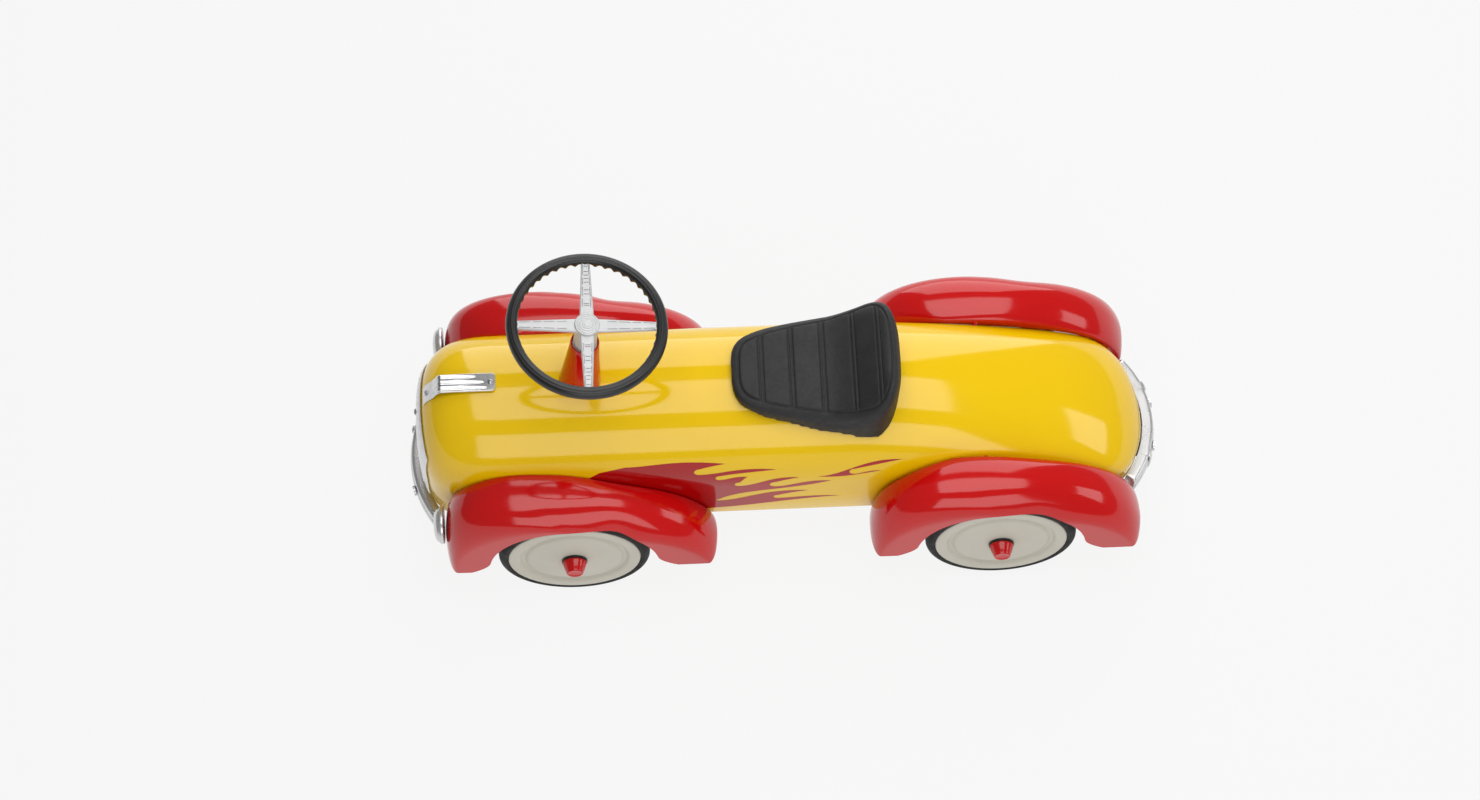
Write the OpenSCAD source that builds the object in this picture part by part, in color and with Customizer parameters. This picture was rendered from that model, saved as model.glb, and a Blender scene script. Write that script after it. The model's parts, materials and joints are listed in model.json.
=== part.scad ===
// Foot-to-floor speedster for a toddler: a pressed steel body on four disc wheels, with
// bolted-on fenders, a padded seat and a steering wheel that turns the front wheels.
// Millimetres. +X is forward, +Y is the driver's left, +Z is up, and the origin is on the
// floor below the middle of the car.

/* [Wheels] */
// Distance from the middle of the car to the front axle
front_axle_x = 215; // [213:0.5:217]
// Distance from the middle of the car to the rear axle
rear_axle_x = 214.5; // [213:0.5:217]
// Radius of a tyre
tyre_r = 76; // [75:0.5:77]
// Radius of the painted wheel disc
disc_r = 66.5; // [65:0.5:68]
// Distance from the car's centre plane to the outer face of a wheel disc
disc_face_y = 130; // [129.5:0.25:130.5]
// Width of a tyre
tyre_w = 18; // [17:0.5:18]

/* [Body] */
// Half of the body's width
body_half_w = 84; // [83.5:0.25:84.2]
// Height of the body's lower edge
body_floor_z = 77; // [76.8:0.1:78]
// Height of the hood and of the deck behind it
body_top_z = 218; // [217.5:0.25:218]
// Radius of the body's long shoulders
shoulder_r = 80; // [76:1:80]
// Foremost point of the nose
nose_x = 365.5; // [364:0.5:366]
// Rearmost point of the tail
tail_x = 367.5; // [366:0.5:368]
// Thickness of the body's steel
body_t = 1.8; // [1.5:0.1:2]

/* [Fenders] */
// Outermost reach of a fender from the centre plane
fender_y = 134.5; // [134:0.25:135.5]
// Height of the highest point of a fender
fender_top_z = 173.5; // [173:0.5:175]
// Height of the fenders' lower edges
fender_floor_z = 63; // [62:0.5:64]
// Thickness of a fender's steel
fender_t = 1.6; // [1.2:0.1:1.8]

/* [Steering] */
// Lean of the steering column towards the driver
column_tilt = 5.7; // [5.5:0.1:5.9]
// Outer radius of the steering wheel
rim_outer_r = 78; // [77:0.5:80]
// Height of the middle of the steering wheel's rim
rim_z = 330.5; // [330:0.5:333]
// Radius of the steering shaft
shaft_r = 5; // [4.9:0.1:5.1]
// Distance from the centre plane to a kingpin
kingpin_y = 95; // [94.5:0.5:95]
// Radius of a kingpin
kingpin_r = 3.5; // [3.4:0.1:3.6]
// Length of the crank and of the knuckle arms
arm_len = 30; // [29:1:31]

/* [Seat] */
// Height of the flat front part of the seat's top
seat_top_z = 227; // [226:0.5:228]
// Foremost point of the seat
seat_front_x = 51; // [49:0.5:52]
// Rearmost point of the seat
seat_rear_x = -117; // [-118:0.5:-115]

/* [Bright work] */
// Outer radius of the arc that the front bumper follows
front_bumper_r = 130; // [128:1:134]
// Outer radius of the arc that the rear bumper follows
rear_bumper_r = 113; // [112:1:116]
// Height of the front bumper's top edge
front_bumper_z = 66; // [65:0.5:67]
// Height of the rear bumper's top edge
rear_bumper_z = 81; // [80:0.5:82]
// Height of a bumper's bar
bumper_h = 28; // [26:1:30]
// Radius of a headlight
lamp_r = 19; // [18:0.5:20]

/* [Hidden] */
$fn = 96;

LEFT = 1;
RIGHT = -1;
FRONT = 1;
REAR = -1;
axle_z = tyre_r;
touch = 0.05;            // clearance between neighbours that are fixed together
run = 0.05;              // radial clearance of a running fit
gap = 0.4;               // clearance between parts that move past each other

// ---------------------------------------------------------------- general helpers

function blend(a, b, t) = a + (b - a) * t;
function signed_power(v, e) = sign(v) * pow(abs(v), e);
function clamp01(v) = max(0, min(1, v));

// Faces of a sheet of metal given as two grids of points, rows of equal length, the first
// grid being the outer skin. Capped ends are closed across the whole row, so the sheet
// becomes a hood that is open only along its two long edges.
function skin_faces(rows, cols, base, flip) = [
    for (i = [0:rows - 2], j = [0:cols - 2], half = [0, 1])
        let (a = base + i * cols + j, b = a + 1, c = a + cols + 1, d = a + cols)
        flip ? (half == 0 ? [a, b, c] : [a, c, d])
             : (half == 0 ? [a, c, b] : [a, d, c])];
function edge_faces(rows, cols, n) = concat(
    [for (i = [0:rows - 2])
        let (a = i * cols, b = a + cols) [a, a + n, b + n, b]],
    [for (i = [0:rows - 2])
        let (a = i * cols + cols - 1, b = a + cols) [a, b, b + n, a + n]]);
function rim_faces(cols, first, n) = [
    for (j = [0:cols - 2])
        let (a = first + j) n > 0 ? [a, a + 1, a + 1 + n, a + n]
                                  : [a, a - n, a + 1 - n, a + 1]];

module sheet(outer, inner, capped = false) {
    rows = len(outer);
    cols = len(outer[0]);
    n = rows * cols;
    points = concat([for (row = outer) for (p = row) p],
        [for (row = inner) for (p = row) p]);
    last = (rows - 1) * cols;
    ends = capped
        ? [[for (j = [0:cols - 1]) j],
           [for (j = [cols - 1:-1:0]) n + j],
           [for (j = [cols - 1:-1:0]) last + j],
           [for (j = [0:cols - 1]) n + last + j],
           [0, cols - 1, n + cols - 1, n],
           [last, last + n, last + n + cols - 1, last + cols - 1]]
        : concat(rim_faces(cols, 0, n), rim_faces(cols, last, -n));
    polyhedron(points, concat(skin_faces(rows, cols, 0, false),
        skin_faces(rows, cols, n, true), edge_faces(rows, cols, n), ends));
}

// Places its children on the steering column's axis, height s above the front axle
module on_column(s = 0) {
    translate([front_axle_x, 0, axle_z]) rotate([0, -column_tilt, 0])
        translate([0, 0, s]) children();
}
function column_s(z) = (z - axle_z) / cos(column_tilt);

module tube(r_out, r_in, h) {
    difference() {
        cylinder(r = r_out, h = h);
        translate([0, 0, -1]) cylinder(r = r_in, h = h + 2);
    }
}

// ---------------------------------------------------------------- body shell

body_h = body_top_z - body_floor_z;
wall_h = body_h - shoulder_r;                // straight part of the body's side
flat_half = body_half_w - shoulder_r;        // half of the flat strip along the top
nose_start = 275;                            // where the nose begins to narrow
tail_plan_start = 180;                       // where the tail begins to narrow
tail_drop_start = 60;                        // where the tail begins to drop
shoulder_steps = 12;
end_u = 0.9995;                              // the ends stop just short of a point

function ease(u, n, m) = pow(1 - pow(clamp01(u), n), 1 / m);
function body_plan(x) = x > 0
    ? ease((x - nose_start) / (nose_x - nose_start), 3.2, 3.2)
    : ease((-x - tail_plan_start) / (tail_x - tail_plan_start), 8, 1.6);
function body_rise(x) = x > 0
    ? ease((x - nose_start) / (nose_x - nose_start), 4.9, 4.9)
    : ease((-x - tail_drop_start) / (tail_x - tail_drop_start), 1.47, 1.93);
// Half width of the body at height z of the section at x
function body_y(x, z) =
    let (h = (z - body_floor_z) / body_rise(x), s = clamp01((h - wall_h) / shoulder_r))
    body_plan(x) * (flat_half + shoulder_r * sqrt(1 - s * s));
// Height of the body's top at distance y from the centre plane, in its straight part
function deck_z(y) = body_top_z - shoulder_r
    + sqrt(pow(shoulder_r, 2) - pow(max(0, abs(y) - flat_half), 2));

half_section = concat([[body_half_w, 0]],
    [for (i = [0:shoulder_steps]) let (a = 90 * i / shoulder_steps)
        [flat_half + shoulder_r * cos(a), wall_h + shoulder_r * sin(a)]]);
section = concat(half_section,
    [for (i = [len(half_section) - 1:-1:0]) [-half_section[i][0], half_section[i][1]]]);

tail_steps = 18;
nose_steps = 15;
body_u = concat(
    [for (i = [0:tail_steps]) [-1, end_u * (1 - pow(i / tail_steps, 2.4))]],
    [[0, 0.35]],
    [for (i = [nose_steps:-1:0]) [1, end_u * (1 - pow(i / nose_steps, 2.4))]]);
function body_x(s) = s[0] < 0 ? -blend(tail_drop_start, tail_x, s[1])
    : s[0] > 0 ? blend(nose_start, nose_x, s[1]) : blend(-tail_drop_start, nose_start, s[1]);
// The inner skin is the outer one scaled towards the middle by the sheet's thickness
function body_row(x, t) = [for (p = section)
    [x * (1 - t / tail_x), p[0] * body_plan(x) * (1 - t / body_half_w),
     body_floor_z + p[1] * body_rise(x) * (1 - t / body_h)]];

module body_shell() {
    color("gold") difference() {
        sheet([for (s = body_u) body_row(body_x(s), 0)],
            [for (s = body_u) body_row(body_x(s), body_t)], capped = true);
        on_column(column_s(body_top_z) - 15) cylinder(r = shaft_r + 4, h = 30);
        translate([-rear_axle_x, body_half_w + 10, axle_z]) rotate([90, 0, 0])
            cylinder(r = 7, h = 2 * body_half_w + 20);
        for (x = seat_bolt_x) translate([x, 0, body_top_z - 20])
            cylinder(r = seat_bolt_r + 0.2, h = 40);
    }
}

// ---------------------------------------------------------------- chassis

chassis_floor_z = 62;
plate_t = 2.5;
member_y = body_half_w - body_t - touch;     // outer face of a crossmember's cheeks
member_ahead = 35;             // reach of a crossmember from its axle, outward
member_behind = 22;            // and towards the middle of the car
member_top_z = 112;
bush_r = 8;
stand_pad = 24;
stand_pad_z = 54;

// A shallow steel channel across the body. Its floor takes the axle and the bumper bars
// and its cheeks are riveted to the body's sides.
module member(end) {
    length = member_ahead + member_behind;
    mirror([end > 0 ? 0 : 1, 0, 0])
    translate([(end > 0 ? front_axle_x : rear_axle_x) - member_behind, 0, chassis_floor_z])
        difference() {
            union() {
                translate([0, -member_y, 0]) cube([length, 2 * member_y, plate_t]);
                for (y = [-member_y, member_y - plate_t]) translate([0, y, 0])
                    cube([length, plate_t, member_top_z - chassis_floor_z]);
            }
            for (side = [LEFT, RIGHT])
                translate([member_behind + bar_bolt_dx, side * side_y(end), -1])
                cylinder(r = bolt_r + touch, h = plate_t + 2);
        }
}

module front_crossmember() {
    color("dimgray") difference() {
        member(FRONT);
        on_column(-30) cylinder(r = bush_r + touch, h = 40);
    }
}

// The flat pad under its middle stands on whatever lifts the wheels off the floor
module rear_crossmember() {
    color("dimgray") difference() {
        union() {
            member(REAR);
            translate([-rear_axle_x - 22, -stand_pad / 2, stand_pad_z])
                cube([20, stand_pad, chassis_floor_z + 1 - stand_pad_z]);
        }
        translate([-rear_axle_x, member_y + 5, axle_z]) rotate([90, 0, 0])
            cylinder(r = shaft_r + touch, h = 2 * member_y + 10);
    }
}

rivet_r = 2.5;
rivet_z = 98;

module crossmember_rivets() {
    color("silver") for (x = [front_axle_x, -rear_axle_x], dx = [-12, 12])
        for (side = [LEFT, RIGHT]) translate([x + dx, 0, rivet_z]) rotate([-90 * side, 0, 0]) {
            translate([0, 0, member_y - plate_t - 1.5]) cylinder(r = 4, h = 1.5);
            translate([0, 0, member_y - plate_t]) cylinder(r = rivet_r,
                h = plate_t + body_t + touch);
            translate([0, 0, body_half_w]) cylinder(r = 4, h = 1.2);
        }
}

// The front axle beam is a flat strip below the crossmember. Each end carries a C-shaped
// yoke that holds a kingpin above and below the knuckle.
beam_w = 26;
beam_t = 4;
ear_r = 8;
yoke_top_z = 90;
yoke_web_y = body_half_w + 1;
yoke_web_t = 2.5;
ear_t = 3;

module front_axle_beam() {
    beam_z = chassis_floor_z - beam_t - touch;
    color("dimgray") difference() {
        union() {
            translate([front_axle_x - beam_w / 2, -kingpin_y, beam_z])
                cube([beam_w, 2 * kingpin_y, beam_t]);
            for (side = [LEFT, RIGHT]) {
                for (z = [beam_z, yoke_top_z]) translate([front_axle_x, side * kingpin_y, z])
                    cylinder(r = ear_r, h = z == beam_z ? beam_t : ear_t);
                mirror([0, side > 0 ? 0 : 1, 0])
                    translate([front_axle_x - ear_r, yoke_web_y, beam_z])
                    cube([2 * ear_r, yoke_web_t, yoke_top_z + ear_t - beam_z]);
                mirror([0, side > 0 ? 0 : 1, 0])
                    translate([front_axle_x - ear_r, yoke_web_y, yoke_top_z])
                    cube([2 * ear_r, kingpin_y - yoke_web_y, ear_t]);
            }
        }
        for (side = [LEFT, RIGHT]) translate([front_axle_x, side * kingpin_y, beam_z - 1])
            cylinder(r = kingpin_r + touch, h = yoke_top_z);
        on_column(-30) cylinder(r = bush_r + touch, h = 40);
    }
}

module kingpins() {
    head_h = 2.5;
    bottom = chassis_floor_z - beam_t - touch;
    color("silver") for (side = [LEFT, RIGHT]) translate([front_axle_x, side * kingpin_y, 0]) {
        translate([0, 0, bottom - 4]) cylinder(r = kingpin_r,
            h = yoke_top_z + ear_t + touch - bottom + 4);
        translate([0, 0, yoke_top_z + ear_t + touch]) cylinder(r = 6, h = head_h);
        translate([0, 0, bottom - touch - 3]) cylinder(r = 6, h = 3, $fn = 6);
    }
}

axle_end_y = 144;

module rear_axle() {
    color("silver") translate([-rear_axle_x, 0, axle_z]) rotate([90, 0, 0]) {
        translate([0, 0, -axle_end_y]) cylinder(r = shaft_r, h = 2 * axle_end_y);
        for (z = [-collar_y, collar_y - 8]) translate([0, 0, z]) cylinder(r = 8, h = 8);
    }
}

// ---------------------------------------------------------------- fenders

// A fender is given in side view relative to its wheel's centre: a crown line over the
// top and the lip of the wheel opening, both superellipses on the same base line.
// Each kind is [crown peak x, reach ahead, power ahead, reach behind, power behind, height
// of the outer quarter ellipse at the top, depth of the inner edge at the top].
FRONT_FENDER = [35, 93, 3.4, 179.5, 1.92, 50, 9.5];
REAR_FENDER = [25, 106, 2.6, 168, 2.0, 44, 15];
lip_half = 86;
lip_h = 85.2;
lip_power = 2.2;
lip_flare = 18;              // how far the lip turns out at its lower ends
lip_flare_h = 20;
crown_y = 104;               // the crown line's distance from the centre plane
end_in = 4;                  // depth of the inner edge below the crown at the ends
end_drop = 10;               // height of the outer quarter ellipse at the ends
flange_h = 11;                // the flange that lies against the body
skirt_corner = 12;
skirt_lift_h = 40;
least_inner_y = 75;
fender_rows = 38;
inner_steps = 4;
outer_steps = 6;

function crown_line(kind, a) =
    let (back = a > 90, reach = back ? kind[3] : kind[1], power = back ? kind[4] : kind[2])
    [kind[0] + reach * signed_power(cos(a), 2 / power),
     fender_floor_z + (fender_top_z - fender_floor_z) * pow(sin(a), 2 / power)];
function lip_line(a) =
    let (rise = lip_h * pow(sin(a), 2 / lip_power),
        flare = lip_flare * pow(clamp01(1 - rise / lip_flare_h), 2))
    [lip_half * signed_power(cos(a), 2 / lip_power) + flare * sign(cos(a)),
     fender_floor_z + rise];
// Rounds the lower corners of a skirt, whose ends are at xa and xb
function skirt_z(x, z, xa, xb) =
    let (over = max(0, skirt_corner - min(xa - x, x - xb)),
        lift = skirt_corner - sqrt(max(0, pow(skirt_corner, 2) - pow(min(over, skirt_corner), 2))),
        fade = clamp01(1 - (z - fender_floor_z) / skirt_lift_h))
    z + lift * fade;
// Points across the sheet as [distance from the centre plane, depth below the crown].
// The inset moves them to the inner skin.
function inner_dip(kind, a) = blend(end_in, kind[6], sin(a));
function fender_profile(kind, a, depth, wall_y, inset) =
    let (dip = inner_dip(kind, a), drop = blend(end_drop, kind[5], sin(a)),
        half = fender_y - crown_y,
        turn = acos(1 - min(drop, 0.85 * depth) / drop),
        lip_y = depth < drop ? crown_y + half * sqrt(1 - pow(1 - depth / drop, 2)) : fender_y)
    concat([[wall_y + inset, dip + flange_h]],
        [for (i = [0:inner_steps]) let (b = 90 * i / inner_steps)
            [crown_y - (crown_y - wall_y - inset) * cos(b), dip * (1 - sin(b)) + inset]],
        [for (i = [1:outer_steps]) let (b = turn * i / outer_steps)
            [crown_y + (half - inset) * sin(b), inset + (drop - inset) * (1 - cos(b))]],
        [[lip_y - inset, depth]]);
// Nearest a fender comes to the centre plane at a place in side view
function beside_body(x, z) = max(least_inner_y, body_y(x, max(body_floor_z, z))) + 0.3;
function fender_angle(i) = let (s = i / (fender_rows - 1)) 180 * (s - 0.5 * sin(360 * s) / (2 * PI));
function fender_row(kind, wheel_x, side, i, inset) =
    let (a = max(0.01, min(179.99, fender_angle(i))), c = crown_line(kind, a), l = lip_line(a),
        depth = norm(l - c), into = (l - c) / depth,
        wall = c + into * inner_dip(kind, a),
        wall_y = beside_body(wheel_x + wall[0], wall[1]))
    [for (p = fender_profile(kind, a, depth, wall_y, inset))
        let (q = c + into * p[1])
        [wheel_x + q[0], side * max(p[0], beside_body(wheel_x + q[0], q[1]) + inset),
         skirt_z(q[0], q[1], kind[0] + kind[1], kind[0] - kind[3])]];

module fender(kind, wheel_x, side) {
    rows = [for (inset = [0, fender_t])
        [for (i = [0:fender_rows - 1])
            fender_row(kind, wheel_x, side, side > 0 ? i : fender_rows - 1 - i, inset)]];
    color("firebrick") sheet(rows[0], rows[1]);
}

module front_fender(side) {
    color("firebrick") difference() {
        fender(FRONT_FENDER, front_axle_x, side);
        translate([lamp_back_x - 20, side * lamp_y, lamp_z]) rotate([0, 90, 0])
            cylinder(r = lamp_stud_r + 0.2, h = 40);
    }
}

module fender_front_left() { front_fender(LEFT); }
module fender_front_right() { front_fender(RIGHT); }
module fender_rear_left() { fender(REAR_FENDER, -rear_axle_x, LEFT); }
module fender_rear_right() { fender(REAR_FENDER, -rear_axle_x, RIGHT); }

// Rivets through the body and the fenders' flanges, square to the body's surface
rivet_angles = [70, 88];

function rivet_site(kind, wheel_x, a) =
    let (c = crown_line(kind, a), into = (lip_line(a) - c) / norm(lip_line(a) - c),
        p = c + into * (inner_dip(kind, a) + 6.6),
        x = wheel_x + p[0], h = (p[1] - body_floor_z) / body_rise(x))
    [x, body_y(x, p[1]), p[1], asin(clamp01((h - wall_h) / shoulder_r))];

module rivet(grip) {
    translate([0, 0, -body_t - 1.4]) cylinder(r = 3.5, h = 1.2);
    translate([0, 0, -body_t - 0.2]) cylinder(r = rivet_r, h = body_t + grip + 0.4);
    translate([0, 0, grip + 0.2]) cylinder(r = 3.5, h = 1.3);
}

module fender_rivets() {
    color("silver") for (end = [[FRONT_FENDER, front_axle_x], [REAR_FENDER, -rear_axle_x]],
            a = rivet_angles, side = [LEFT, RIGHT])
        let (p = rivet_site(end[0], end[1], a))
        translate([p[0], side * p[1], p[2]]) rotate([-side * (90 - p[3]), 0, 0])
            rivet(fender_t + 0.3);
}

// ---------------------------------------------------------------- bright work

lamp_y = 101;
lamp_z = 108;
lamp_back_x = front_axle_x + FRONT_FENDER[0] + FRONT_FENDER[1] + 0.1;
lamp_stud_r = 3;
lamp_band = 5;
lamp_dome = 6;

module headlight(side) {
    dome_r = (pow(lamp_r, 2) + pow(lamp_dome, 2)) / (2 * lamp_dome);
    color("gainsboro") translate([lamp_back_x, side * lamp_y, lamp_z]) rotate([0, 90, 0]) {
        cylinder(r = lamp_r, h = lamp_band);
        translate([0, 0, lamp_band]) intersection() {
            cylinder(r = lamp_r, h = lamp_dome + 1);
            translate([0, 0, lamp_dome - dome_r]) sphere(r = dome_r);
        }
        translate([0, 0, -14]) cylinder(r = lamp_stud_r, h = 15);
    }
}

module headlight_left() { headlight(LEFT); }
module headlight_right() { headlight(RIGHT); }

module headlight_nuts() {
    color("silver") for (side = [LEFT, RIGHT])
        translate([lamp_back_x - 8, side * lamp_y, lamp_z]) rotate([0, 90, 0])
            tube(6, lamp_stud_r + touch, 4);
}

// The nose's surface at a place in front view, found by halving the span it lies in
function nose_at(y, z, lo, hi, steps) = steps == 0 ? lo
    : let (mid = (lo + hi) / 2)
      body_y(mid, z) > abs(y) && mid < hi
          ? nose_at(y, z, mid, hi, steps - 1) : nose_at(y, z, lo, mid, steps - 1);
grille_half_w = 54;
grille_floor_z = 82;
grille_side_z = 160;
grille_top_z = 186;
grille_t = 1.2;
grille_bars = 13;
grille_rows = 12;
grille_bar_h = 1.6;

function grille_point(i, j, off) =
    let (cols = 4 * grille_bars, f = j / cols * 2 - 1, y = grille_half_w * f,
        top = grille_top_z - (grille_top_z - grille_side_z) * pow(abs(f), 2.2),
        z = blend(grille_floor_z, top, i / grille_rows),
        fade = sin(180 * i / grille_rows) > 0.1 ? 1 : 0,
        bar = grille_bar_h * fade * (j % 4 == 2 ? 1 : j % 4 == 0 ? 0 : 0.8))
    [nose_at(y, z, nose_start, nose_x, 14) + 0.8 + bar + off, y, z];

module grille() {
    color("gainsboro") sheet(
        [for (i = [0:grille_rows]) [for (j = [0:4 * grille_bars]) grille_point(i, j, grille_t)]],
        [for (i = [0:grille_rows]) [for (j = [0:4 * grille_bars]) grille_point(i, j, 0)]]);
}

module pan_screw(r, h, shank) {
    translate([0, 0, -shank]) cylinder(r = r * 0.5, h = shank + 0.1);
    cylinder(r = r, h = h * 0.5);
    translate([0, 0, h * 0.5]) cylinder(r1 = r, r2 = r * 0.6, h = h * 0.5);
}

grille_screw_z = [90, 161];

module grille_screws() {
    color("silver") for (z = grille_screw_z)
        translate([nose_at(0, z, nose_start, nose_x, 14) + 0.8 + grille_t + grille_bar_h, 0, z])
        rotate([0, 90, 0]) pan_screw(3.4, 2, 9);
}

// The ornament is a ribbed strip along the hood. Its front end steps down to a foot that
// follows the nose.
strip_rear_x = 284;
strip_bend_x = 341;
strip_base_z = 221.8;
strip_w = 20;
rib_r = 3.3;
foot_x = [348, 352.5, 357];
foot_t = 2.6;
foot_clear = 0.6;
function nose_top(x) = body_floor_z + body_h * body_rise(x);

module hood_ornament() {
    profile = concat([[strip_rear_x, body_top_z + 0.1], [strip_bend_x - 6, body_top_z + 0.1]],
        [for (x = foot_x) [x, nose_top(x) + foot_clear]],
        [for (i = [2:-1:0]) [foot_x[i] + foot_t * 0.8, nose_top(foot_x[i]) + foot_clear + foot_t]],
        [[strip_bend_x, strip_base_z], [strip_rear_x, strip_base_z]]);
    color("gainsboro") {
        translate([0, strip_w / 2, 0]) rotate([90, 0, 0]) linear_extrude(strip_w) polygon(profile);
        for (y = [-1:1]) translate([strip_rear_x + 9, y * rib_r * 2, strip_base_z])
            rotate([0, 90, 0]) intersection() {
                cylinder(r = rib_r, h = strip_bend_x - strip_rear_x - 9);
                translate([-rib_r, -rib_r, 0])
                    cube([rib_r + 0.5, 2 * rib_r, strip_bend_x - strip_rear_x]);
            }
    }
}

module ornament_screws() {
    color("silver") {
        translate([strip_rear_x + 4.5, 0, strip_base_z]) pan_screw(3, 1.6, 8);
        translate([foot_x[1] + foot_t * 0.8, 0, nose_top(foot_x[1]) + foot_clear + foot_t])
            rotate([0, 55, 0]) pan_screw(3, 1.6, 8);
    }
}

// ---------------------------------------------------------------- bumpers

bumper_reach = [380, 380];     // outermost x of the front and of the rear bumper's bar
bumper_half_w = [75, 73];        // half width of the front and of the rear bumper
bumper_t = 1.6;
bumper_lip = 12;
ridge_h = 10;
ridge_out = 1.4;
bar_y = [35, 24];
bar_clear = 0.35;                // keeps a bar's flat tab off the bumper's curved back
bar_w = 16;
bar_t = 2.9;
bar_bolt_dx = 26;
bolt_r = 3;
tab_h = 9;                       // a bar's tab stands this far past the bumper's bolt
overrider_y = 38;
overrider_turn = 3.6;
overrider_t = 1.8;

function arc_r(end) = end > 0 ? front_bumper_r : rear_bumper_r;
function reach(end) = bumper_reach[end > 0 ? 0 : 1];
function mid_z(end) = (end > 0 ? front_bumper_z : rear_bumper_z) - bumper_h / 2;
function side_y(end) = bar_y[end > 0 ? 0 : 1];
function bar_angle(end) = asin(side_y(end) / arc_r(end));
function tab_r(end) = arc_r(end) - bumper_t - bar_clear - bar_t;

// Draws its children at the front, or mirrored to the rear
module at_end(end) {
    mirror([end > 0 ? 0 : 1, 0, 0]) children();
}

// Places its children in the frame of an end's bumper arc: the origin on the arc's axis
// at the middle of the bumper's height, and +X outward
module at_bumper(end) {
    at_end(end) translate([reach(end) - arc_r(end), 0, mid_z(end)]) children();
}

module at_bumper_bolts(end) {
    at_bumper(end) for (side = [LEFT, RIGHT]) rotate([0, 0, side * bar_angle(end)]) children();
}

module bumper(end) {
    r = arc_r(end);
    half = bumper_h / 2;
    span = 2 * asin(bumper_half_w[end > 0 ? 0 : 1] / r);
    profile = [[r - bumper_lip, -half], [r - 2, -half], [r, 3 - half], [r, -ridge_h / 2],
        [r + ridge_out, 2 - ridge_h / 2], [r + ridge_out, ridge_h / 2 - 2], [r, ridge_h / 2],
        [r, half - 3], [r - 2, half], [r - bumper_lip, half],
        [r - bumper_lip, half - bumper_t], [r - 2 - bumper_t / 2, half - bumper_t],
        [r - bumper_t, half - 3], [r - bumper_t, 3 - half],
        [r - 2 - bumper_t / 2, bumper_t - half], [r - bumper_lip, bumper_t - half]];
    difference() {
        at_bumper(end) rotate([0, 0, -span / 2]) rotate_extrude(angle = span) polygon(profile);
        at_bumper_bolts(end) translate([r - 10, 0, 0]) rotate([0, 90, 0])
            cylinder(r = bolt_r + touch, h = 20);
    }
}

module front_bumper() { color("gainsboro") bumper(FRONT); }
module rear_bumper() { color("gainsboro") bumper(REAR); }

// Short straps wrapped over the rear bumper
module rear_overriders() {
    inner = rear_bumper_r + ridge_out + touch;
    half = bumper_h / 2 + touch;
    back = rear_bumper_r - bumper_lip + 4;
    profile = [[back, -half - overrider_t], [inner, -half - overrider_t],
        [inner + overrider_t, 3 - half], [inner + overrider_t, half - 3],
        [inner, half + overrider_t], [back, half + overrider_t], [back, half],
        [inner - 1, half], [inner, half - 2], [inner, 2 - half], [inner - 1, -half], [back, -half]];
    turn = asin(overrider_y / rear_bumper_r);
    color("gainsboro") at_bumper(REAR) for (side = [LEFT, RIGHT])
        rotate([0, 0, side * turn - overrider_turn / 2])
        rotate_extrude(angle = overrider_turn) polygon(profile);
}

// A bar runs from the crossmember to the bumper, where a tab up or down takes the bolt
module bumper_bars() {
    top = chassis_floor_z - touch;
    color("dimgray") for (end = [FRONT, REAR]) difference() {
        low = min(top - bar_t, mid_z(end) - tab_h);
        high = max(top, mid_z(end) + (end > 0 ? 0 : tab_h));
        union() {
            at_bumper_bolts(end) translate([tab_r(end), -bar_w / 2, low - mid_z(end)])
                cube([bar_t, bar_w, high - low]);
            at_end(end) for (side = [LEFT, RIGHT])
                translate([bar_rear_x(end), side * side_y(end) - bar_w / 2, top - bar_t])
                cube([bar_front_x(end) - bar_rear_x(end), bar_w, bar_t]);
        }
        at_bumper_bolts(end) translate([arc_r(end) - 10, 0, 0]) rotate([0, 90, 0])
            cylinder(r = bolt_r + touch, h = 20);
        at_end(end) for (side = [LEFT, RIGHT])
            translate([bar_bolt_x(end), side * side_y(end), top - 10])
            cylinder(r = bolt_r + touch, h = 20);
    }
}
function bar_bolt_x(end) = (end > 0 ? front_axle_x : rear_axle_x) + bar_bolt_dx;
function bar_rear_x(end) = bar_bolt_x(end) - bar_w / 2;
function bar_front_x(end) = reach(end) - arc_r(end) + tab_r(end) * cos(bar_angle(end)) + 0.3;

// A bolt along +Z whose head is on top of a stack of the given grip and its nut below
module bolt(r, grip) {
    translate([0, 0, touch]) cylinder(r = 1.8 * r, h = 2);
    translate([0, 0, -grip - 4]) cylinder(r = r, h = grip + 4 + touch);
    translate([0, 0, -grip - touch - 2.6]) cylinder(r = 1.8 * r, h = 2.6, $fn = 6);
}

module bumper_bolts() {
    color("silver") for (end = [FRONT, REAR])
        at_bumper_bolts(end) translate([arc_r(end) + ridge_out, 0, 0]) rotate([0, 90, 0])
        bolt(bolt_r, ridge_out + bumper_t + bar_clear + bar_t);
}

module bar_bolts() {
    color("silver") for (end = [FRONT, REAR], side = [LEFT, RIGHT]) at_end(end)
        translate([bar_bolt_x(end), side * side_y(end), chassis_floor_z + plate_t])
        bolt(bolt_r, plate_t + touch + bar_t);
}

// ---------------------------------------------------------------- seat

seat_bolt_x = [20, -46];
seat_bolt_r = 3;
pan_t = 1.5;
pan_inset = 9;
pan_rear_x = -58;                // the pan ends where the deck starts to fall away
pad_clear = 0.25;
seat_narrow = [10, 46.5];        // x and half width where the seat is narrow
seat_wide = [-85, 62];           // and where it is wide
seat_front_round = 46;           // length of the rounded front end
seat_rear_round = 37;
seat_bend_x = -45;               // where the top starts to rise to the rear
seat_rise = 0.0476;
seat_columns = 22;
seat_rows = 26;

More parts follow.
